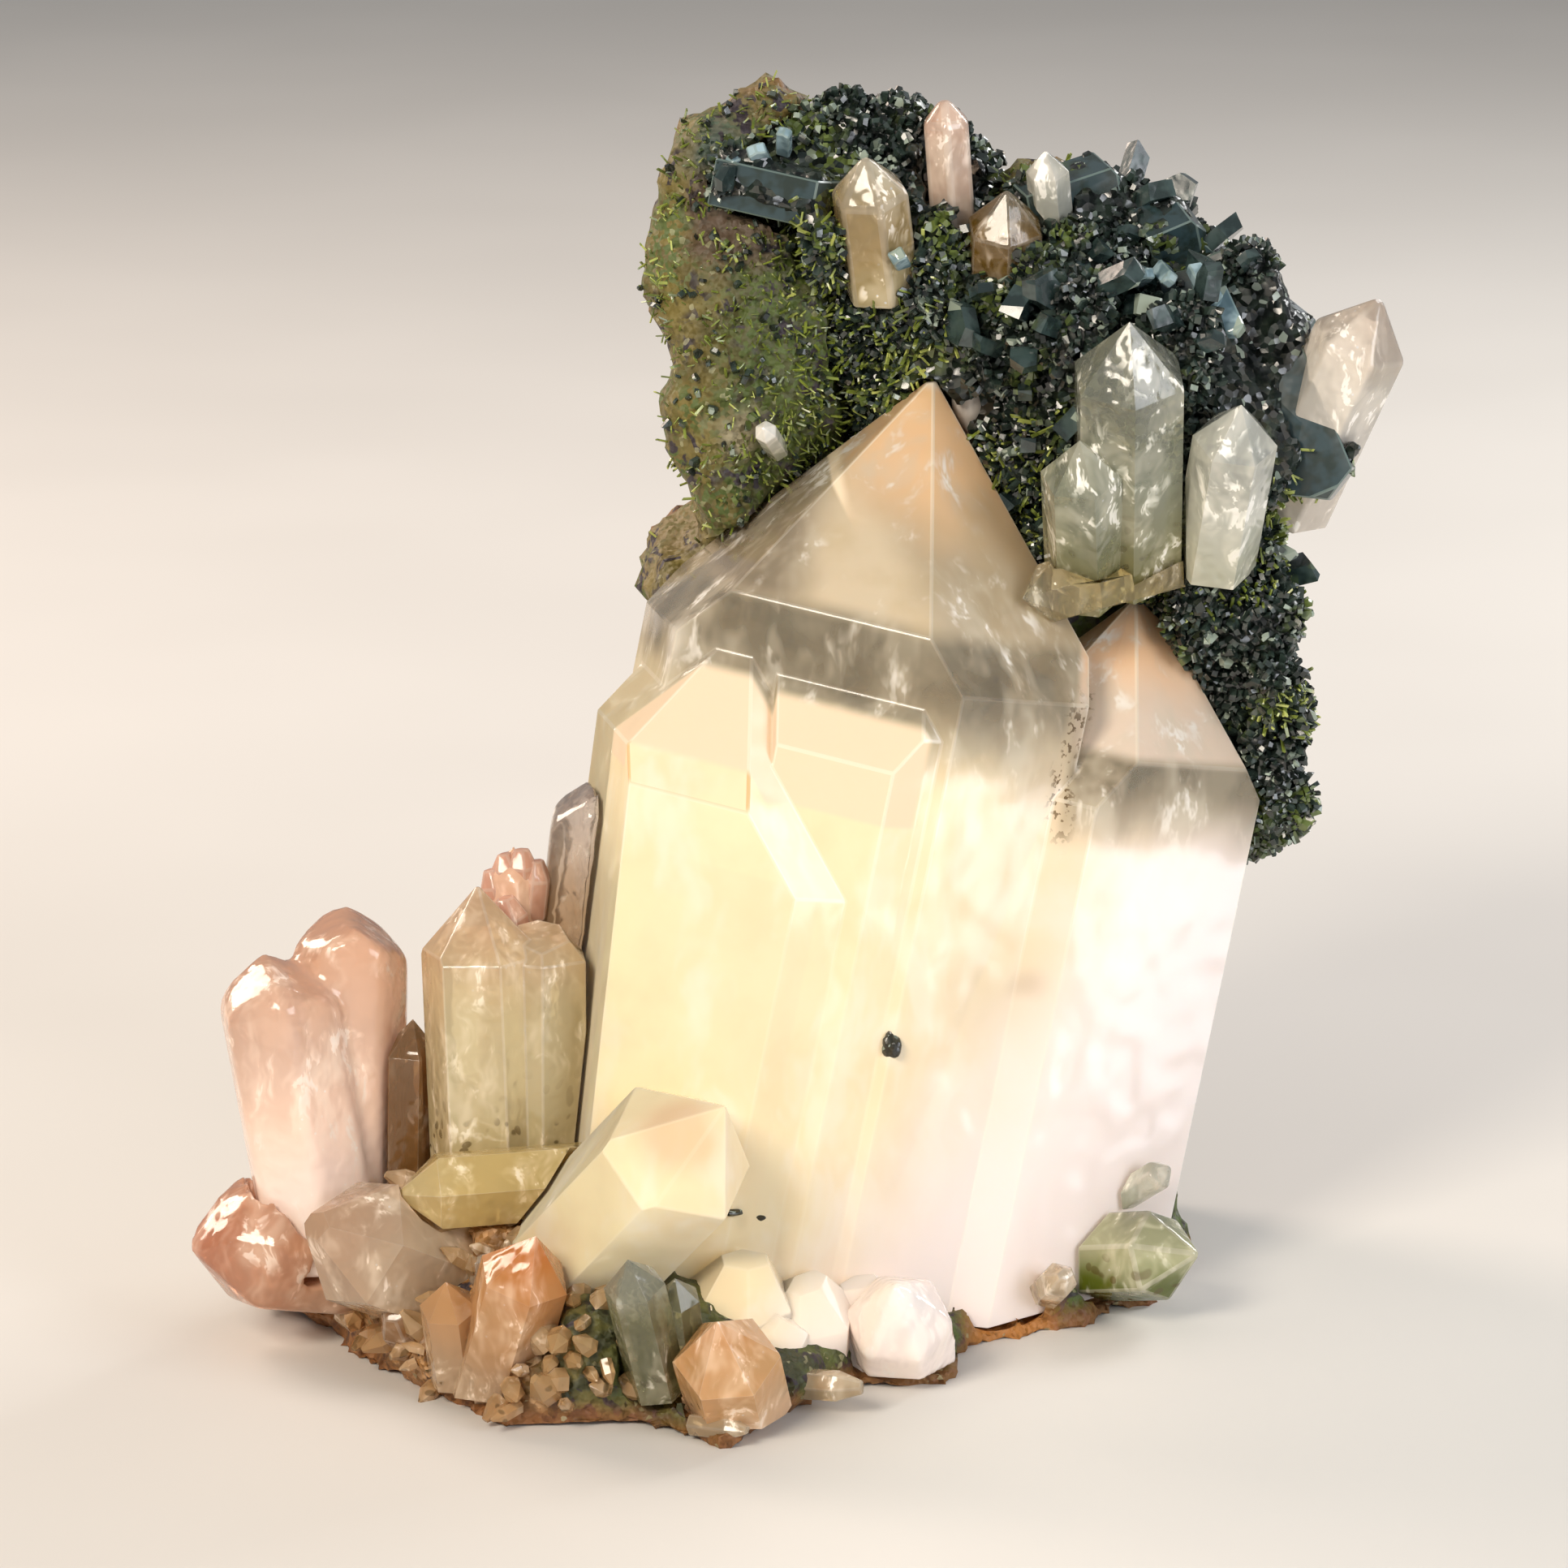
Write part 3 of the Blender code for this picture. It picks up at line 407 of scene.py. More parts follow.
def main_quartz():
    """Milky quartz with clear tips: cream at the left front, pinkish white low on the right, both partly its own
    tone and partly a painted highlight.
    """
    finish, tree, shader, place = new_finish("milky_quartz", 0.14, 1.544)
    loose = wander(tree, place, 5.0, 1.4)
    # Parts of the group, by how far out their own faces lie
    in_front = beyond(tree, place, GROUP_FRONT, MAIN_FRONT + 0.5, MAIN_FRONT + 1.1)
    far_left = beyond(tree, place, GROUP_FRONT, 15.4, 15.8)
    on_right = beyond(tree, place, (1.0, 0.0, -0.15), 10.9, 11.6)
    # The milk ends this far up the group: on the main crystal, then on the one at its right
    clear_height = layered(
        tree,
        beyond(tree, loose, GROUP_AXIS, 35.0, 42.0),
        [(on_right, beyond(tree, loose, GROUP_AXIS, 32.5, 38.5))],
        "FLOAT",
    )
    glassy = times(tree, clear_height, calculate(tree, 1.0, "SUBTRACT", in_front))
    pyramid = beyond(tree, place, GROUP_AXIS, 44.8, 46.4)
    smoky_left = times(tree, pyramid, beyond(tree, loose, (-1.0, 0.0, 0.35), 15.0, 19.5))
    smoky_right = times(tree, pyramid, beyond(tree, loose, (1.0, 0.0, 0.6), 34.0, 39.0))
    # The peach of the tip fades downwards, and ends at a healed crack on its left
    past_crack = beyond(tree, place, (0.87, 0.0, 0.5), 28.2, 28.5)
    peach_tip = times(tree, past_crack, beyond(tree, loose, (0.3, 0.0, 0.95), 48.5, 54.5))
    healed = times(
        tree,
        past_crack,
        beyond(tree, loose, (-0.87, 0.0, -0.5), -29.3, -28.5),
        beyond(tree, place, (0.0, 0.0, 1.0), 51.0, 53.0),
    )
    right_pyramid = times(tree, on_right, beyond(tree, place, GROUP_AXIS, 39.0, 40.0))
    right_tip = times(tree, on_right, beyond(tree, loose, GROUP_AXIS, 41.5, 46.0))
    mottle = clouds(tree, place, 4.5, 0.36, 0.7, 3.0)
    streaks = veils(tree, loose, 5.0, 0.46, 0.66)
    torn = times(tree, veils(tree, loose, 1.8, 0.52, 0.64), streaks)
    seam = times(
        tree,
        beyond(tree, loose, (1.0, 0.0, -0.15), 10.2, 11.2),
        beyond(tree, loose, (-1.0, 0.0, 0.15), -12.6, -11.6),
        beyond(tree, loose, GROUP_AXIS, 32.0, 37.0),
        beyond(tree, loose, -GROUP_AXIS, -44.0, -41.0),
    )
    grit = times(tree, clouds(tree, place, 0.45, 0.56, 0.62), seam)
    olive = patch(tree, loose, (13.0, -4.0, 21.8), 1.0, 6.5)
    smudge = patch(tree, loose, (14.2, -3.6, 22.5), 0.2, 1.8)
    across = beyond(tree, loose, (1.0, 0.0, -0.3), -6.0, 12.0)
    # Pinkish white low on the right: partly the quartz's own tone, partly a painted highlight
    white_and_lit_part = beyond(tree, loose, (0.75, 0.0, -0.66), -9.0, 4.0)
    upper_face = times(tree, far_left, beyond(tree, place, GROUP_AXIS, 29.3, 29.7))
    lit_side = times(tree, far_left, beyond(tree, loose, (-1.0, 0.0, -0.2), -4.0, 8.0))
    top_edge = beyond(tree, place, GROUP_AXIS, 33.0, 33.6)
    not_left = calculate(tree, 1.0, "SUBTRACT", far_left)
    step_face = times(tree, in_front, not_left, beyond(tree, place, GROUP_AXIS, 33.6, 34.0))
    # A painted highlight: a pale rim on the left edge of the large crystal
    left_rim_highlight = patch(tree, loose, (-9.4, -1.5, 44.5), 0.8, 3.4)
    low = beyond(tree, loose, -GROUP_AXIS, -36.0, -22.0)
    above = ranged(tree, low, 0.0, 1.0, 1.0, 0.25)
    layers = [
        (far_left, colour("F9E4BC")),
        (lit_side, colour("FDEBBE")),
        (upper_face, colour("FBE9C0")),
        (across, colour("F8E3CC")),
        (times(tree, mottle, 0.5), colour("F1D9AE")),
        (times(tree, streaks, 0.4), colour("FFF6E4")),
        (times(tree, olive, 0.6), colour("DECBA0")),
        (times(tree, smudge, 0.5), colour("B89C72")),
        (white_and_lit_part, colour("FDEEE6")),
        (step_face, colour("F8DDBC")),
        (glassy, colour("DCCEB0")),
        (times(tree, pyramid, 0.95), colour("F8E4C2")),
        (times(tree, pyramid, mottle, 0.75), colour("DFC9A0")),
        (times(tree, smoky_left, 0.8), colour("B8A88E")),
        (times(tree, smoky_right, 0.4), colour("D2BC9A")),
        (times(tree, peach_tip, 0.85), colour("F8CA98")),
        (times(tree, right_pyramid, 0.95), colour("F8E2CC")),
        (times(tree, right_tip, 0.75), colour("F6C08A")),
        (times(tree, glassy, streaks, 0.4), colour("F4E9D2")),
        (times(tree, glassy, torn, 0.9), colour("FFFAF2")),
        (times(tree, healed, 0.7), colour("FFEBCB")),
        (times(tree, seam, 0.5), colour("C9B28E")),
        (grit, colour("7C6546")),
        (patch(tree, loose, (8.8, 8.2, 59.1), 0.5, 1.6), colour("FFF6EA")),
        (times(tree, patch(tree, loose, (-7.2, -21.8, 18.9), 1.4, 3.8), 0.75), colour("E9C49A")),
        (growth_mark(tree, place), colour("FFFFFF")),
        (times(tree, left_rim_highlight, 0.8), colour("FFF8EC")),
        # Painted highlight on the softened edges, fainter towards the foot
        (times(tree, painted(tree, "edge"), 0.45, above), colour("FFF3DC")),
        (times(tree, painted(tree, "edge"), far_left, top_edge, 0.8), colour("F2B878")),
    ]
    tree.links.new(layered(tree, colour("FAE7BE"), layers), shader.inputs["Base Color"])
    share = [
        (pyramid, 0.3),
        (smoky_left, 0.65),
        (smoky_right, 0.5),
        (peach_tip, 0.12),
        (right_pyramid, 0.2),
        (right_tip, 0.05),
        (times(tree, mottle, 0.3), 0.2),
        (times(tree, streaks, 0.55), 0.3),
        (torn, 0.1),
        (healed, 0.0),
        (seam, 0.4),
        (left_rim_highlight, 0.2),
    ]
    clear = times(tree, glassy, layered(tree, 0.78, share, "FLOAT"))
    tree.links.new(clear, shader.inputs["Transmission Weight"])
    shader.inputs["Subsurface Weight"].default_value = 0.12
    shader.inputs["Subsurface Radius"].default_value = (1.0, 0.75, 0.55)
    shader.inputs["Subsurface Scale"].default_value = 2.0 * MM
    depth_of_quartz(tree, "E8D7B0", 20.0)
    # In the milk light comes back from deep inside, so the faces' own directions count for less
    outward = add(tree, "ShaderNodeNewGeometry").outputs["Normal"]
    milk = calculate(tree, 1.0, "SUBTRACT", glassy)
    right_of_step = calculate(tree, 1.0, "SUBTRACT", in_front)
    depth = ranged(tree, calculate(tree, low, "MAXIMUM", times(tree, right_of_step, 0.8)), 0, 1, 0.45, 0.85)
    seen = times(tree, milk, depth, beyond(tree, outward, GROUP_FRONT, 0.0, 0.3))
    soft = layered_way(tree, outward, seen, (0.18, -0.94, 0.28))
    pits = clouds(tree, place, 2.4, 0.3, 0.8, 0.0)
    relief(tree, shader, pits, 0.03, soft)
    return finish


def epidote(name, dark, green, pale, share, size, tilt, roughness=0.25, glints=0.7, etch=0.0):
    """Epidote: glassy, nearly black green in bulk, with a pistachio tone on thin edges.

    share is how much of it shows the pale tone, size and tilt are those of its small faces, and
    glints is how strongly a few of them are painted pale, as painted glints. etch is the depth of the pits on them.
    """
    finish, tree, shader, place = new_finish(name, roughness, 1.75)
    facing, number = facets(tree, place, size, tilt)
    grains = clouds(tree, place, 1.2, 0.4, 0.62)
    some = ranged(tree, number, 0.4, 0.6)
    patches = times(tree, clouds(tree, place, 5.0, 0.62 - share, 0.76 - share), some)
    # A few cells painted pale as painted glints
    painted_glint_cells = ranged(tree, number, 0.93, 0.95)
    layers = [
        (grains, colour(green)),
        (patches, colour(pale)),
        (times(tree, painted_glint_cells, glints), colour("A3B0A0")),
        # Painted highlight on the softened edges
        (times(tree, painted(tree, "edge"), 0.5), colour("84978F")),
    ]
    tree.links.new(layered(tree, colour(dark), layers), shader.inputs["Base Color"])
    if etch:
        relief(tree, shader, clouds(tree, place, 0.5, 0.3, 0.8, 0.0), etch, facing)
    else:
        tree.links.new(facing, shader.inputs["Normal"])
    return finish


def rock():
    """The host rock: dull, broken, olive-brown with green epidote in it and rust along the foot."""
    finish, tree, shader, place = new_finish("epidote_host_rock", 0.62, 1.6)
    facing, number = facets(tree, place, 0.32, 0.4)
    loose = wander(tree, place, 3.0, 1.5)
    rust_line = beyond(tree, loose, (0.0, 0.0, -1.0), -2.0, -0.3)
    rust_side = beyond(tree, loose, (-1.0, -0.3, 0.0), 8.2, 9.6)
    rust_side = times(tree, rust_side, beyond(tree, loose, (0.0, 0.0, 1.0), 38.0, 44.0))
    mound = times(
        tree,
        beyond(tree, loose, (-1.0, 0.0, 0.0), 11.0, 16.0),
        beyond(tree, loose, (0.0, 0.0, -1.0), -30.0, -20.0),
    )
    greenness = clouds(tree, place, 5.0, 0.42, 0.56)
    grain = ranged(tree, number, 0.4, 0.6)
    purple = times(tree, clouds(tree, loose, 0.9, 0.55, 0.6), clouds(tree, place, 4.0, 0.42, 0.54))
    facing_front = beyond(tree, loose, (0.0, -1.0, 0.0), -15.0, -11.0)
    right_part = times(tree, beyond(tree, loose, (1.0, 0.0, 0.0), -7.0, -2.0), facing_front)
    back = beyond(tree, loose, (0.0, 1.0, 0.0), 12.0, 16.0)
    front = times(
        tree,
        beyond(tree, loose, (0.0, -1.0, 0.0), 14.0, 17.0),
        beyond(tree, loose, (1.0, 0.0, 0.0), -17.0, -14.0),
    )
    top_left = patch(tree, loose, (-4.5, 9.0, 73.5), 2.0, 5.5)
    # Painted shade in the hollow at the top left: dark brown, and near black where the purple patches fall
    shaded_hollow = patch(tree, loose, (-4.1, 10.0, 68.5), 2.0, 4.4)
    layers = [
        (clouds(tree, place, 2.2, 0.35, 0.65), colour("7C6E34")),
        (times(tree, greenness, grain), colour("55642A")),
        (times(tree, right_part, 0.8), colour("35421F")),
        (times(tree, right_part, grain), colour("4F5E22")),
        (times(tree, top_left, 0.8), colour("4E5C5A")),
        (times(tree, back, clouds(tree, place, 9.0, 0.45, 0.6), 0.7), colour("8A7650")),
        (times(tree, back, clouds(tree, place, 6.0, 0.56, 0.64), 0.7), colour("8E5E36")),
        (mound, colour("CDA070")),
        (times(tree, mound, grain), colour("A5763F")),
        (times(tree, mound, clouds(tree, place, 2.5, 0.5, 0.6)), colour("7A5426")),
        (times(tree, front, 0.8), colour("545A26")),
        (times(tree, front, clouds(tree, place, 2.0, 0.45, 0.55)), colour("3A3D1E")),
        (purple, colour("33292F")),
        # The painted shade of the hollow, darkest in its middle
        (times(tree, shaded_hollow, 0.8), colour("5A4438")),
        (times(tree, patch(tree, loose, (-4.1, 10.0, 67.5), 2.0, 5.0), purple), colour("1E181C")),
        (patch(tree, loose, (-3.6, 8.0, 55.6), 0.9, 2.4), colour("A79E80")),
        (times(tree, rust_side, 0.7), colour("9A6238")),
        (times(tree, rust_line, 0.8), colour("8E5A2C")),
        (patch(tree, loose, (12.8, -5.0, 1.5), 2.0, 4.5), colour("B0722F")),
        (times(tree, ranged(tree, number, 0.975, 0.98), 0.5), colour("B9B48A")),
    ]
    tree.links.new(layered(tree, colour("5E5427"), layers), shader.inputs["Base Color"])
    grit = clouds(tree, place, 0.6, 0.2, 0.8, 1.0)
    relief(tree, shader, grit, 0.12, facing)
    return finish


# Shapes


def soften_edges(piece, width, steps=2):
    """Takes the knife edge off a crystal's corners, so that they catch the light, and marks them for a painted
    highlight in the materials.
    """
    piece.data.materials.append(None)
    piece.data.materials.append(None)
    edit(piece, "EDGE")
    bpy.ops.mesh.edges_select_sharp(sharpness=math.radians(12))
    bpy.ops.mesh.bevel(
        offset=width * MM, segments=steps, profile=0.6, clamp_overlap=True, material=1
    )
    leave_edit()
    marks = [float(face.material_index) for face in piece.data.polygons]
    piece.data.polygons.foreach_set("material_index", [0] * len(marks))
    layer = piece.data.attributes.new("edge", "FLOAT", "FACE")
    layer.data.foreach_set("value", marks)
    pick(piece)
    bpy.ops.object.shade_smooth_by_angle(angle=math.radians(25))


def wear_round(piece, passes):
    """Rounds a crystal whose corners are worn away."""
    modify(piece, "REMESH", mode="VOXEL", voxel_size=0.32 * MM)
    modify(piece, "SMOOTH", factor=0.6, iterations=passes)
    pick(piece)
    bpy.ops.object.shade_smooth()


def broken_rock(piece, grain, heaves):
    """A finer skin on a mass of rock, heaved at each (size, height) in millimetres.

    The back, where the rock is plainly broken, is heaved more and in flatter faces.
    """
    modify(piece, "REMESH", mode="VOXEL", voxel_size=grain * MM)
    for index, (size, height) in enumerate(heaves):
        for vert, outward in [(v, v.normal.copy()) for v in piece.data.vertices]:
            spot = vert.co / (size * MM) + Vector((17.0 * index, 0.0, 0.0))
            swell = noise.noise(spot) + 0.4 * noise.noise(spot * 2.3)
            rough = 1.0 + 1.3 * ramp(vert.co.y / MM, 13.0, 19.0)
            vert.co += outward * swell * height * rough * MM
        piece.data.update()
    pick(piece)
    bpy.ops.object.shade_smooth_by_angle(angle=math.radians(38))


def cut(point, outward):
    """Cuts what is being edited along a plane, and drops what lies beyond it."""
    bpy.ops.mesh.select_all(action="SELECT")
    bpy.ops.mesh.bisect(plane_co=point, plane_no=outward, use_fill=True, clear_outer=True)


def prism(name, width, thickness, length):
    """A plain bar to cut a crystal from, standing on the origin."""
    bpy.ops.object.select_all(action="DESELECT")
    bpy.ops.mesh.primitive_cube_add(
        size=1.0, location=(0, 0, length / 2), scale=(width, thickness, length)
    )
    made = bpy.context.object
    made.name = name
    bpy.ops.object.transform_apply(location=True, rotation=True, scale=True)
    return made


def small_epidote(name, width, thickness, slopes):
    """One epidote crystal a unit long, standing on its foot: a flat prism with a sloping end."""
    made = prism(name, width, thickness, 1.0)
    edit(made)
    for across, deep in slopes:
        cut((0, 0, 0.92), Vector((across, deep, 1.0)).normalized())
    leave_edit()
    return made


def epidote_blade(name, foot, tip, width, thickness, turn):
    """A large flat epidote crystal with a roof-shaped end and crisp edges that carry a painted highlight."""
    length = (Vector(tip) - Vector(foot)).length
    made = prism(name, width * MM, thickness * MM, length * MM)
    edit(made)
    end = Vector((0.0, 0.0, length * MM))
    for way in (1, -1):
        cut(end, Vector((0.55 * way, 0.0, 1.0)).normalized())
    front = Vector((0.0, thickness * 0.3 * MM, length * MM))
    cut(front, Vector((0.0, 1.0, 0.8)).normalized())
    leave_edit()
    stand(made, foot, tip, turn)
    soften_edges(made, 0.1, 1)
    return made


def small_quartz(name, radius, shoulder, blunt):
    """One small quartz crystal a unit long: a six-sided prism drawn in to a worn point."""
    bpy.ops.object.select_all(action="DESELECT")
    bpy.ops.mesh.primitive_cylinder_add(
        vertices=6, radius=radius, depth=shoulder, location=(0, 0, shoulder / 2)
    )
    made = bpy.context.object
    made.name = name
    bpy.ops.object.transform_apply(location=True, rotation=True, scale=True)
    edit(made)
    leave_edit()
    for face in made.data.polygons:
        face.select = face.normal.z > 0.9
    bpy.ops.object.mode_set(mode="EDIT")
    bpy.ops.mesh.extrude_region_move(
        TRANSFORM_OT_translate={"value": (0.02 * radius, 0.0, 1.0 - shoulder)}
    )
    bpy.ops.transform.resize(value=(blunt * 1.6, blunt, 1.0), center_override=(0.0, 0.0, 1.0))
    leave_edit()
    return made


def grown_crystal(name, foot, tip, width, turn=0.0, shoulder=0.68, blunt=0.3, edge=0.12):
    """A quartz crystal of its own size, standing where it grew."""
    length = (Vector(tip) - Vector(foot)).length
    made = small_quartz(name, width / 2 / length, shoulder, blunt)
    made.scale = (length * MM,) * 3
    pick(made)
    bpy.ops.object.transform_apply(location=False, rotation=False, scale=True)
    stand(made, foot, tip, turn)
    soften_edges(made, edge)
    return made


def family(name, members):
    """A collection of small shapes that a scatter draws from, kept out of the picture."""
    made = bpy.data.collections.new(name)
    for obj in members:
        for old in obj.users_collection:
            old.objects.unlink(obj)
        made.objects.link(obj)
    return made


def scatter(name, ground, shapes, spacing, sizes, lean, seed, sink=0.25):
    """Many small crystals on a ground mesh, thick where its number "cover" is 1, in one mesh."""
    made = bpy.data.objects.new(name, ground.data.copy())
    bpy.context.scene.collection.objects.link(made)
    made.data.materials.clear()
    tree = bpy.data.node_groups.new(name, "GeometryNodeTree")
    tree.interface.new_socket("Geometry", in_out="INPUT", socket_type="NodeSocketGeometry")
    tree.interface.new_socket("Geometry", in_out="OUTPUT", socket_type="NodeSocketGeometry")
    soil = add(tree, "NodeGroupInput").outputs[0]
    cover = add(tree, "GeometryNodeInputNamedAttribute", {"data_type": "FLOAT"}, {"Name": "cover"})
    points = add(
        tree,
        "GeometryNodeDistributePointsOnFaces",
        {"distribute_method": "POISSON"},
        {
            "Mesh": soil,
            "Distance Min": spacing * MM,
            "Density Max": 3.0 / (spacing * MM) ** 2,
            "Density Factor": cover.outputs["Attribute"],
            "Seed": seed,
        },
    )
    last = len(shapes.objects) - 1
    which = add(tree, "FunctionNodeRandomValue", {"data_type": "INT"}, {4: 0, 5: last})
    shown = {"Collection": shapes, "Separate Children": True, "Reset Children": True}
    drawn = add(tree, "GeometryNodeCollectionInfo", {}, shown)
    span = {2: sizes[0] * MM, 3: sizes[1] * MM, "Seed": seed + 1}
    size = add(tree, "FunctionNodeRandomValue", {"data_type": "FLOAT"}, span)
    stood = add(
        tree,
        "GeometryNodeInstanceOnPoints",
        {},
        {
            "Points": points.outputs["Points"],
            "Instance": drawn.outputs[0],
            "Pick Instance": True,
            "Instance Index": which.outputs[2],
            "Rotation": points.outputs["Rotation"],
            "Scale": size.outputs[1],
        },
    )
    turns = {0: (-lean, -lean, -math.pi), 1: (lean, lean, math.pi), "Seed": seed + 2}
    tilt = add(tree, "FunctionNodeRandomValue", {"data_type": "FLOAT_VECTOR"}, turns)
    turn = {"Instances": stood.outputs[0], "Rotation": tilt.outputs[0], "Local Space": True}
    turned = add(tree, "GeometryNodeRotateInstances", {}, turn)
    down = {
        "Instances": turned.outputs[0],
        "Translation": (0, 0, -sink * sizes[0] * MM),
        "Local Space": True,
    }
    sunk = add(tree, "GeometryNodeTranslateInstances", {}, down)
    whole = add(tree, "GeometryNodeRealizeInstances", {}, {0: sunk.outputs[0]})
    result = add(tree, "NodeGroupOutput")
    tree.links.new(whole.outputs[0], result.inputs[0])
    modify(made, "NODES", node_group=tree)
    return made


# The specimen's pieces


def make_matrix():
    piece = copy_of_node("matrix", "matrix_rock")
    broken_rock(piece, 0.6, [(7.0, 0.6), (3.0, 0.45), (1.4, 0.3)])
    dress(piece, "matrix_rock", rock())
    return piece


def make_druse():
    piece = copy_of_node("druse", "epidote_druse")
    broken_rock(piece, 0.5, [(2.4, 0.4), (1.0, 0.25)])
    finish = epidote("epidote_crust", "0D1210", "232D25", "55622C", 0.1, 0.42, 0.7)
    dress(piece, "epidote_druse", finish)
    return piece


def make_blades():
    blades = [epidote_blade(f"blade_{index}", *values) for index, values in enumerate(BLADES)]
    piece = joined("epidote_blades", blades)
    finish = epidote("epidote_blade_faces", "26332F", "34464A", "46563C", 0.0, 5.0, 0.03, 0.22, 0.0, 0.004)
    add_piece(piece, finish)
    # These small crystals are painted pale blue-grey all over, as painted glints
    flashes = [epidote_blade(f"flash_{index}", *values) for index, values in enumerate(FLASHES)]
    piece = joined("bright_epidote", flashes)
    finish = epidote("glint_painted_epidote_faces", "6E8890", "A9C3CB", "B9CFD2", 0.1, 2.0, 0.1, 0.12, 1.0, 0.006)
    add_piece(piece, finish)


def on_a_blade(point):
    """Whether a place is on or in one of the large blades."""
    for foot, tip, width, thickness, turn in BLADES:
        foot, tip = Vector(foot), Vector(tip)
        axis = (tip - foot).normalized()
        along = (point - foot).dot(axis)
        away = (point - foot - axis * along).length
        if 0.15 * (tip - foot).length < along < (tip - foot).length and away < width * 0.7:
            return True
    return False


def over_quartz(point, reach):
    """Whether a place is in front of one of the small crystals, where a grain would hide it."""
    crystals = [values[1:3] for values in SMALL_QUARTZ.values()]
    for foot, tip in crystals + [MAIN_TIP]:
        foot, tip = Vector(foot), Vector(tip)
        axis = (tip - foot).normalized()
        along = (point - foot).dot(axis)
        away = (point - foot - axis * along).length
        if 0.35 * (tip - foot).length < along < (tip - foot).length and away < reach:
            return True
    return False


def make_grains(matrix, druse):
    """The fine crust of epidote crystals, in grains, blocks and pistachio needles."""
    stubs = family(
        "epidote_stubs",
        [
            small_epidote("stub_a", 0.7, 0.5, [(0.6, 0.2)]),
            small_epidote("stub_b", 0.5, 0.45, [(0.2, 0.7)]),
            small_epidote("stub_c", 0.9, 0.4, [(0.9, 0.0), (-0.3, 0.3)]),
        ],
    )
    needles = family(
        "epidote_needles",
        [
            small_epidote("needle_a", 0.15, 0.11, [(0.5, 0.2)]),
            small_epidote("needle_b", 0.2, 0.1, [(-0.4, 0.3)]),
        ],
    )
    blackish = epidote("epidote_grains", "161E1A", "33413A", "66753A", 0.12, 0.7, 0.2, 0.26, 0.9)
    bluish = epidote("epidote_blocks", "22302F", "3B4C4A", "56683C", 0.0, 2.2, 0.08, 0.22, 0.8, 0.008)
    pistachio = epidote("pistachio_epidote", "5C6828", "829136", "BCC468", 0.2, 0.6, 0.2, 0.3)
    green_spots = [
        ((31.9, 7.0, 50.8), 4.0),
        ((14.5, 6.0, 52.3), 4.5),
        ((27.8, 6.0, 49.2), 5.0),
        ((2.0, 9.0, 62.0), 7.5),
        ((1.0, 9.0, 56.0), 5.0),
        ((31.0, 6.0, 38.0), 2.5),
    ]

    def crust(p, outward):
        if on_a_blade(p):
            return 0.0
        if over_quartz(p, 2.4):
            return 0.0
        return 1.0 - 0.75 * ramp(outward.y, 0.2, 0.8)

    def upper_right(p, outward):
        if on_a_blade(p) or over_quartz(p, 4.0):
            return 0.0
        return ramp(p.x, 6.0, 14.0) * ramp(p.z, 46.0, 54.0) + 0.05

    def wall_cover(p, outward):
        front = ramp(-outward.y, 0.1, 0.6) * ramp(p.z, 46.0, 52.0)
        speckle = ramp(noise.noise(p / 2.5), -0.3, 0.25)
        return front * max(ramp(p.x, -7.0, 0.0), 0.8 * speckle)

    # Name, ground, where it is thick, shapes, spacing, sizes, lean, seed and finish
    layers = [
        ("druse_grains", druse, crust, stubs, 0.44, (0.38, 0.85), 0.6, 1, blackish),
        ("druse_blocks", druse, upper_right, stubs, 2.3, (1.4, 2.8), 0.7, 11, bluish),
        (
            "pistachio_needles",
            druse,
            lambda p, outward: nearness(p, green_spots),
            needles,
            0.4,
            (0.6, 1.2),
            0.9,
            21,
            pistachio,
        ),
        ("wall_needles", matrix, wall_cover, needles, 0.36, (0.45, 0.95), 0.9, 31, pistachio),
        (
            "wall_grains",
            matrix,
            lambda p, outward: wall_cover(p, outward) * ramp(noise.noise(p / 2.2), -0.2, 0.2),
            stubs,
            0.6,
            (0.35, 0.75),
            0.7,
            41,
            blackish,
        ),
    ]
    for name, ground, thick, shapes, spacing, sizes, lean, seed, finish in layers:
        paint(ground, "cover", thick)
        add_piece(scatter(name, ground, shapes, spacing, sizes, lean, seed), finish)


def make_rubble(matrix):
    """The broken quartz that the left mound is made of."""
    chunks = family(
        "quartz_chunks",
        [
            small_quartz("chunk_a", 0.34, 0.5, 0.1),
            small_quartz("chunk_b", 0.25, 0.62, 0.15),
            small_quartz("chunk_c", 0.42, 0.36, 0.22),
        ],
    )

    def left_mound(p, outward):
        left = ramp(-p.x, 10.0, 14.0)
        low = 1.0 - ramp(p.z, 16.0, 20.0)
        return left * low * ramp(outward.z - 0.6 * outward.y, 0.0, 0.5)

    paint(matrix, "cover", left_mound)
    rubble = scatter("mound_quartz", matrix, chunks, 1.15, (1.1, 2.7), 0.8, 51, 0.4)
    colours = ("DDB27C", "E2BC86", "F6DAB8")
    finish = quartz("peach_quartz_rubble", (-20, 0, 0), (-20, 0, 14), colours, (0.45, 0.4), 0.6)
    add_piece(rubble, finish)


PEACH = ("FFEFE6", "FBD8C2", "F8C8A8")
CLEAR = ("C9CBB4", "E3E3D4", "F2F2EA")
YELLOW = ("DDC88A", "E8D8AC", "F2CCA4")

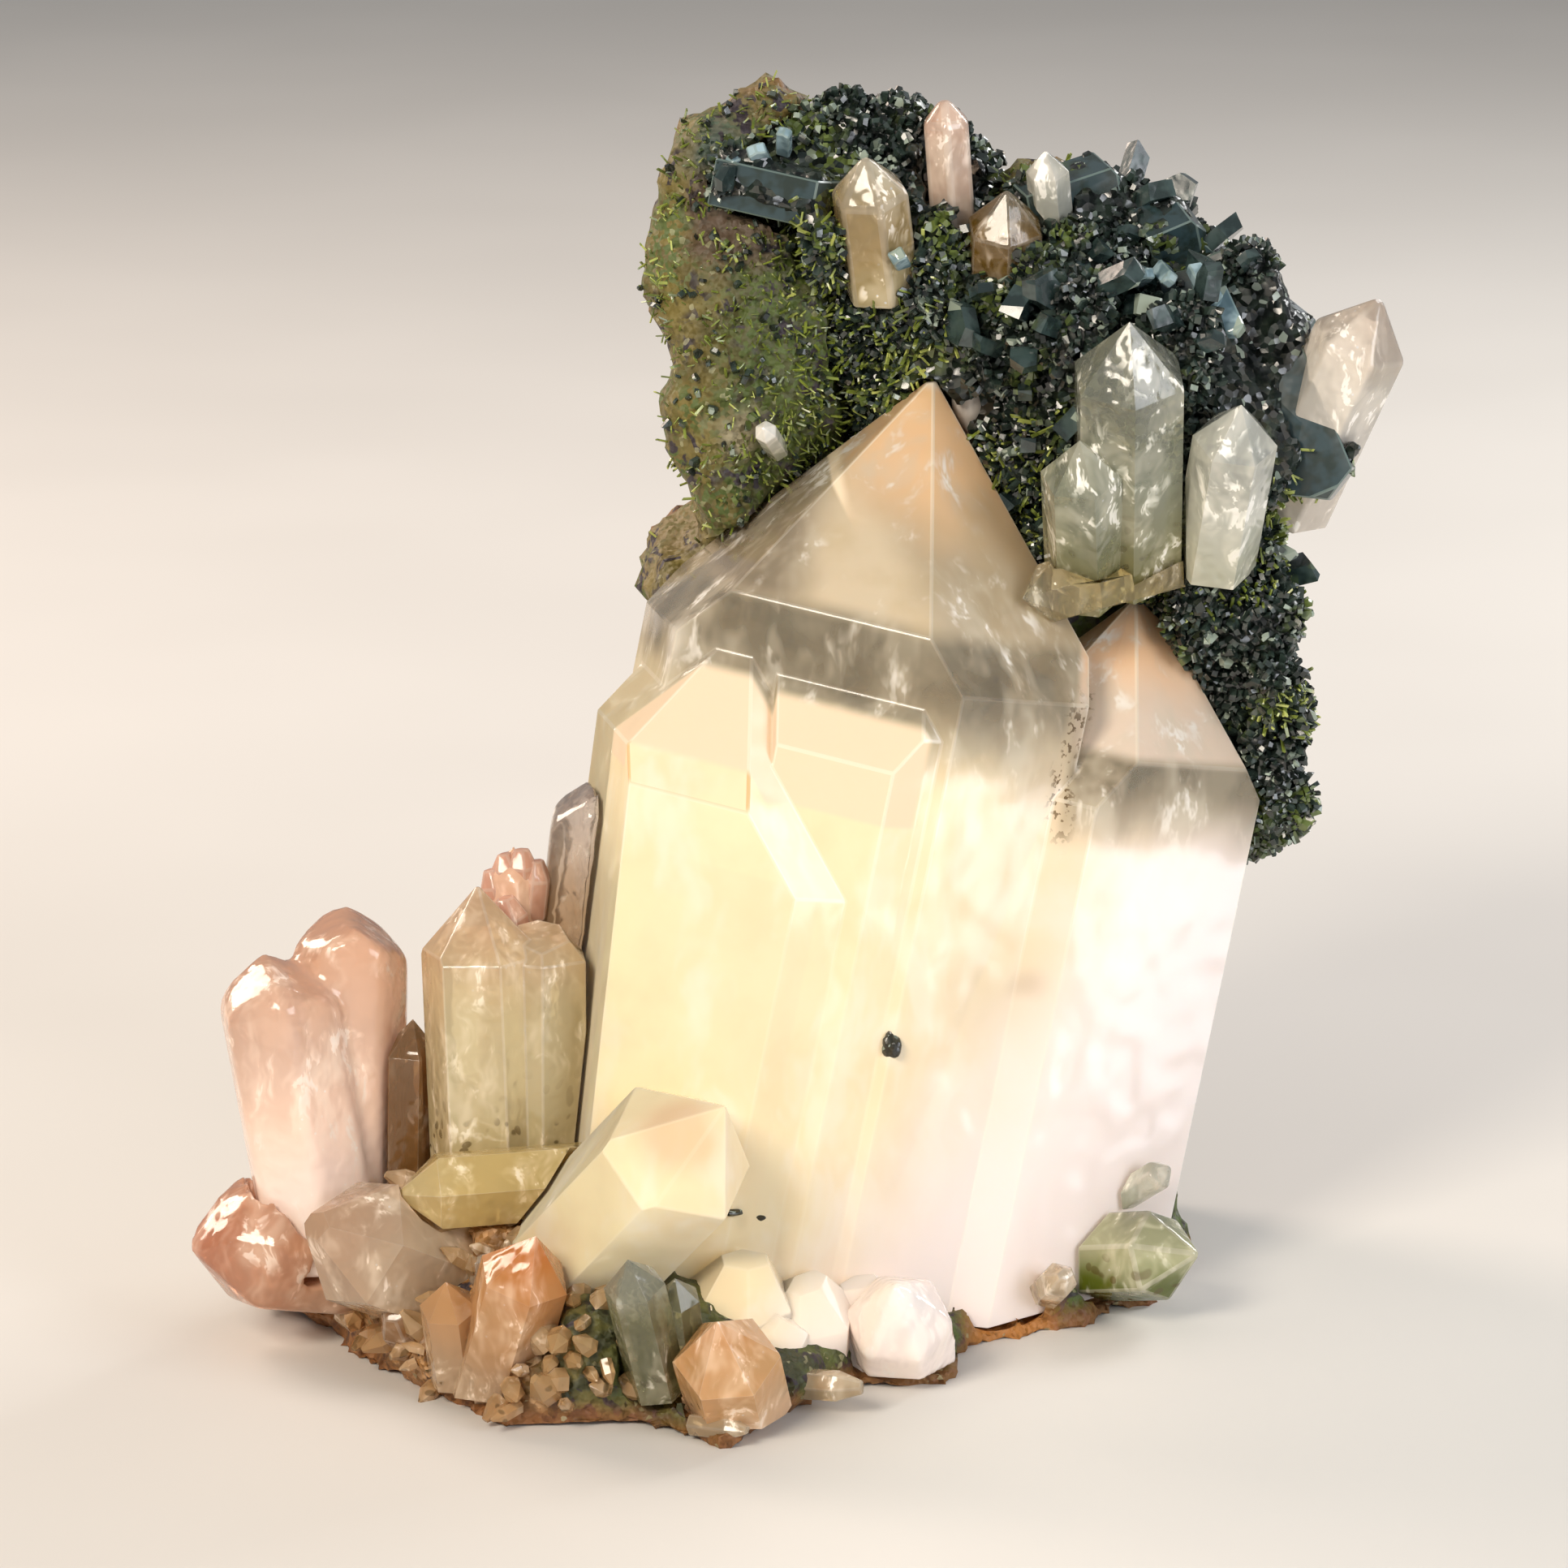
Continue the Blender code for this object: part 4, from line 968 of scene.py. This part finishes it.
# Small quartz by node: slot, foot, tip, colours and milk from foot to tip, flecks, edge width
SMALL_QUARTZ = {
    "left_quartz_pair": (
        "peach_quartz", (-30, -6, 6), (-31.5, -4, 27), PEACH, (1.1, 0.45), 0.0, 0.7,
    ),
    "standing_quartz": (
        "yellow_quartz", (-19, -7, 8), (-19.5, -6, 30), YELLOW, (0.6, 0.45), 1.0, 0.25,
    ),
    "clear_round_quartz": (
        "smoky_quartz", (-15, 0, 12), (-12.4, 0, 35), ("C09460", "C8AC8C", "E2D8D2"), (0.4, 0.2), 0.5, 0.5,
    ),
    "plated_quartz": (
        "peach_quartz", (-18, -1.5, 12), (-18, -1.5, 31), PEACH, (0.8, 0.8), 0.0, 0.3,
    ),
    "smoky_gap_quartz": (
        "smoky_quartz", (-24, -4, 8), (-24, -4, 20), ("8A5F30", "A97C46", "B99268"), (0.4, 0.3), 0.6, 0.2,
    ),
    "lying_quartz": (
        "yellow_quartz", (-12, -12, 12), (-25, -14, 12), ("F0D894", "EBD08A", "EFD9A0"), (0.6, 0.5), 0.8, 0.35,
    ),
    "low_left_quartz": (
        "orange_quartz", (-28, -5, 5), (-38, -9.6, 6), ("F2CDB0", "EBB592", "E49A76"), (0.6, 0.45), 0.0, 0.6,
    ),
    "low_beige_quartz": (
        "peach_quartz", (-20, -10, 4), (-30, -16, 10), ("F0D4AC", "F0D6B4", "ECC6A4"), (0.6, 0.4), 0.2, 0.45,
    ),
    "orange_tipped_quartz": (
        "orange_quartz", (-19, -17, 1), (-16, -22, 12), ("EBC8A0", "E6B078", "DC8438"), (0.5, 0.6), 0.2, 0.2,
    ),
    "clear_green_quartz": (
        "green_quartz", (-8, -21, 2), (-10, -25, 11), ("83844E", "ABAA84", "DEE0CE"), (0.3, 0.2), 0.5, 0.12,
    ),
    "orange_rim_quartz": (
        "orange_quartz", (-4, -22, 1), (-5, -26, 8), ("F2CBA0", "EDB87E", "E8A86A"), (0.6, 0.6), 0.0, 0.3,
    ),
    "milky_quartz_lump": (
        "milky_quartz", (6, -12, 1), (5.8, -17.5, 7), ("FFF1EA", "FFEFE6", "FFF6F0"), (1.0, 0.85), 0.0, 0.3,
    ),
    "included_quartz": (
        "green_quartz", (21, -3, 2.4), (21, -3, 9.0), ("5F6A1E", "C6C69C", "F2EEE0"), (0.8, 0.3), 0.6, 0.2,
    ),
    "rim_nub_quartz": (
        "clear_quartz", (20, 1, 7), (23.6, -1, 10), CLEAR, (0.4, 0.2), 0.0, 0.15,
    ),
    "peach_top_quartz": (
        "peach_quartz", (9.8, 11.5, 66), (9, 11, 76.4), ("C9B8A4", "E9CDB8", "E6BBA2"), (0.5, 0.5), 0.0, 0.3,
    ),
    "golden_quartz": (
        "golden_quartz", (5.2, 10, 64), (4, 6.6, 73.4), ("E0CC96", "D9BC84", "F0E4C4"), (0.45, 0.35), 0.4, 0.3,
    ),
    "amber_quartz": (
        "golden_quartz", (12.8, 10, 65), (12.9, 7.6, 71), ("8E6A1E", "A87F30", "B9A888"), (0.35, 0.25), 0.3, 0.25,
    ),
    "white_top_quartz": (
        "clear_quartz", (16, 11, 67), (15.3, 8.8, 73.2), CLEAR, (0.5, 0.4), 0.0, 0.12,
    ),
    "outer_quartz": (
        "clear_quartz", (30.6, 10.5, 50), (36.2, 5.5, 64.6), ("F2E6D6", "FAF2E6", "F0DECE"), (0.6, 0.35), 0.0, 0.25,
    ),
    "grey_green_quartz": (
        "clear_quartz", (20.6, 6, 47), (20.2, -1.6, 64.4), ("B4AE74", "C6CAB0", "D6DACB"), (0.4, 0.2), 0.3, 0.3,
    ),
    "white_quartz": (
        "clear_quartz", (26, 5.5, 47.5), (27.2, -0.6, 59), ("E9E9D2", "F4F4E6", "F0F4EE"), (0.6, 0.35), 0.0, 0.2,
    ),
    "lying_clear_quartz": (
        "clear_quartz", (23, 5.5, 47.6), (13.8, -0.2, 46.6), ("B8A468", "D8C88C", "F2EAD0"), (0.15, 0.1), 0.2, 0.45,
    ),
    "apex_side_quartz": (
        "smoky_quartz", (10.4, 11, 50), (10.9, 8.6, 59), ("C9BBA8", "E4DACE", "FFF8F0"), (0.7, 0.6), 0.0, 0.4,
    ),
    "wall_quartz": (
        "clear_quartz", (-1.4, 9, 54), (-2.3, 4.6, 56.4), CLEAR, (0.8, 0.8), 0.0, 0.08,
    ),
}


# Crystals whose corners are worn round, and how much
WORN = {
    "left_quartz_pair": 34,
    "clear_round_quartz": 20,
    "plated_quartz": 12,
    "low_left_quartz": 14,
    "apex_side_quartz": 16,
    "milky_quartz_lump": 5,
}

# Crystals that are full of cracks
CRACKED = ("grey_green_quartz", "white_quartz", "outer_quartz", "golden_quartz", "white_top_quartz")

# Crystals too small for a solid of their own, by name: slot, colours, milk, and each one's
# foot, tip, width and turn. Those without colours are of the large crystals' quartz.
GROWN = {
    "foot_crystals": (
        "cream_quartz",
        None,
        None,
        [
            ((-4.4, -13.8, 0.6), (-3.4, -16.9, 9.0), 6.8, 10),
            ((0.2, -12.8, 0.6), (0.4, -14.9, 6.8), 6.6, 52),
            ((-7.4, -17.0, 1.4), (-6.4, -18.6, 6.6), 4.6, 0),
            ((-1.4, -15.0, 0.8), (-2.2, -18.2, 5.2), 5.0, 38),
            ((4.6, -11.4, 0.6), (3.6, -13.0, 6.2), 5.4, 15),
        ],
    ),
    "mound_crystals": (
        "smoky_quartz",
        ("B88450", "C2905C", "D8B48C"),
        (0.45, 0.25),
        [
            ((-23.6, -11.5, 1.8), (-25.0, -16.2, 5.2), 3.2, 10),
            ((-22.0, -12.5, 1.4), (-22.6, -17.0, 4.0), 2.8, 40),
            ((-14.6, -14.0, 3.0), (-13.4, -17.6, 7.4), 2.2, 20),
            ((-22.6, -7.5, 7.0), (-22.0, -9.4, 12.6), 2.6, 5),
            ((-25.8, -9.0, 5.0), (-24.8, -12.4, 9.0), 2.4, 30),
        ],
    ),
    "pale_crystals": (
        "clear_quartz",
        ("E2C9A0", "EFDCC0", "F6EADC"),
        (0.35, 0.2),
        [
            ((-19.9, -16.0, 1.5), (-21.4, -19.4, 7.4), 2.6, 10),
            ((-18.6, -15.0, 5.0), (-19.6, -17.4, 9.2), 2.2, 40),
            ((15.6, -4.4, 2.6), (16.6, -8.0, 5.0), 2.4, 20),
            ((-6.6, -24.0, 0.9), (-3.2, -26.0, 1.2), 1.5, 30),
            ((-1.0, -18.5, 1.6), (3.8, -20.6, 2.0), 2.0, 0),
        ],
    ),
    "pink_plates": (
        "peach_quartz",
        ("F6D2C0", "F8D8CA", "F3BCA2"),
        (0.8, 0.6),
        [
            ((-18.6, -1.6, 26.5), (-19.4, -1.9, 29.6), 2.0, 0),
            ((-18.0, -1.6, 27.5), (-18.5, -1.7, 30.6), 2.1, 30),
            ((-17.4, -1.6, 27.5), (-17.4, -1.8, 30.9), 2.2, 10),
            ((-16.8, -1.6, 26.5), (-16.4, -1.9, 30.2), 2.1, 50),
            ((-17.8, -2.6, 24.5), (-18.4, -3.4, 28.2), 2.6, 20),
        ],
    ),
}


def make_quartz(milk_and_glass):
    main = copy_of_node("main_quartz", "main_quartz_group")
    soften_edges(main, 0.14)
    dress(main, "main_quartz_group", milk_and_glass)
    for node, (slot, foot, tip, colours, milk, flecks, edge) in SMALL_QUARTZ.items():
        piece = copy_of_node(node.replace("_quartz", "") + "_crystal", node)
        if node in WORN:
            wear_round(piece, WORN[node])
        else:
            soften_edges(piece, edge, 3)
        cracks = 1.0 if node in CRACKED else 0.5
        dress(piece, node, quartz(node, foot, tip, colours, milk, flecks, cracks))


def make_grown(milk_and_glass):
    for name, (slot, colours, milk, places) in GROWN.items():
        made = [grown_crystal(f"{name}_{index}", *place) for index, place in enumerate(places)]
        finish = milk_and_glass
        if colours:
            finish = quartz(name, (0, 0, 0), (0, 0, 12), colours, milk)
        add_piece(joined(name, made), finish)


def make_inclusions():
    """The dark spots on the large crystal: grains of epidote caught in its faces."""
    spots = [
        ((5.6, -9.75, 20.5), (0.6, 0.4, 0.8)),
        ((-4.1, -15.1, 11.4), (0.6, 0.3, 0.22)),
        ((-2.4, -15.5, 11.2), (0.3, 0.2, 0.16)),
    ]
    blobs = []
    for place, size in spots:
        bpy.ops.object.select_all(action="DESELECT")
        bpy.ops.mesh.primitive_ico_sphere_add(subdivisions=3, radius=1.0)
        blob = bpy.context.object
        for vert in blob.data.vertices:
            vert.co *= 1.0 + 0.35 * noise.noise(vert.co * 1.3 + Vector(place))
        blob.location = Vector(place) * MM
        blob.scale = Vector(size) * MM
        pick(blob)
        bpy.ops.object.transform_apply(location=True, rotation=True, scale=True)
        blobs.append(blob)
    piece = joined("dark_inclusions", blobs)
    finish = epidote("epidote_inclusion", "14160E", "2A2C18", "3E3A1C", 0.1, 0.3, 0.4, 0.3)
    add_piece(piece, finish)


# The studio


def make_floor():
    bpy.ops.object.select_all(action="DESELECT")
    bpy.ops.mesh.primitive_plane_add(size=4.0, location=(0, 0, 0))
    floor = bpy.context.object
    floor.name = "studio_floor"
    finish, tree, shader, place = new_finish("matt_paper", 0.7, 1.45)
    tone = clouds(tree, place, 60.0, 0.3, 0.7)
    colours = layered(tree, colour("D9D6D0"), [(tone, colour("DDDAD4"))])
    tree.links.new(colours, shader.inputs["Base Color"])
    floor.data.materials.append(finish)


def make_light(name, place, power, size, tint="FFFFFF"):
    """A soft box at a place in millimetres, turned to the specimen."""
    light = bpy.data.lights.new(name, "AREA")
    light.energy = power
    light.shape = "RECTANGLE"
    light.size, light.size_y = size[0] * MM, size[1] * MM
    light.color = colour(tint)[:3]
    made = bpy.data.objects.new(name, light)
    bpy.context.scene.collection.objects.link(made)
    made.location = Vector(place) * MM
    aim = Vector((0, 0, 35)) * MM - made.location
    made.rotation_euler = aim.to_track_quat("-Z", "Y").to_euler()


def make_studio():
    make_floor()
    make_light("key_light", (-220, -360, 330), 1.9, (180, 180), "FFF3E2")
    make_light("fill_light", (340, -300, 200), 1.1, (260, 260), "F4F7FF")
    make_light("back_left_light", (-300, 240, 260), 1.2, (160, 220), "FFE9D8")
    make_light("back_right_light", (280, 280, 240), 1.0, (160, 220))
    world = bpy.data.worlds.new("studio")
    world.use_nodes = True
    world.node_tree.nodes["Background"].inputs[0].default_value = colour("D6D9DE")
    world.node_tree.nodes["Background"].inputs[1].default_value = 0.35
    bpy.context.scene.world = world
    bpy.context.scene.view_settings.view_transform = "Standard"


def make_camera():
    lens = bpy.data.cameras.new("camera")
    lens.sensor_width = 36.0
    lens.lens = FOCAL_PIXELS / PHOTO_SIZE * lens.sensor_width
    lens.clip_start = 0.01
    camera = bpy.data.objects.new("camera", lens)
    bpy.context.scene.collection.objects.link(camera)
    target = Vector(CAMERA_TARGET) * MM
    back = Vector((0.0, -math.cos(CAMERA_HEIGHT_ANGLE), math.sin(CAMERA_HEIGHT_ANGLE)))
    camera.location = target + back * CAMERA_DISTANCE * MM
    camera.rotation_euler = (-back).to_track_quat("-Z", "Y").to_euler()
    bpy.context.scene.camera = camera


make_camera()
make_studio()
matrix = make_matrix()
druse = make_druse()
make_blades()
make_grains(matrix, druse)
make_rubble(matrix)
for ground in (matrix, druse):
    ground.data.attributes.remove(ground.data.attributes["cover"])
milk_and_glass = main_quartz()
make_quartz(milk_and_glass)
make_grown(milk_and_glass)
make_inclusions()
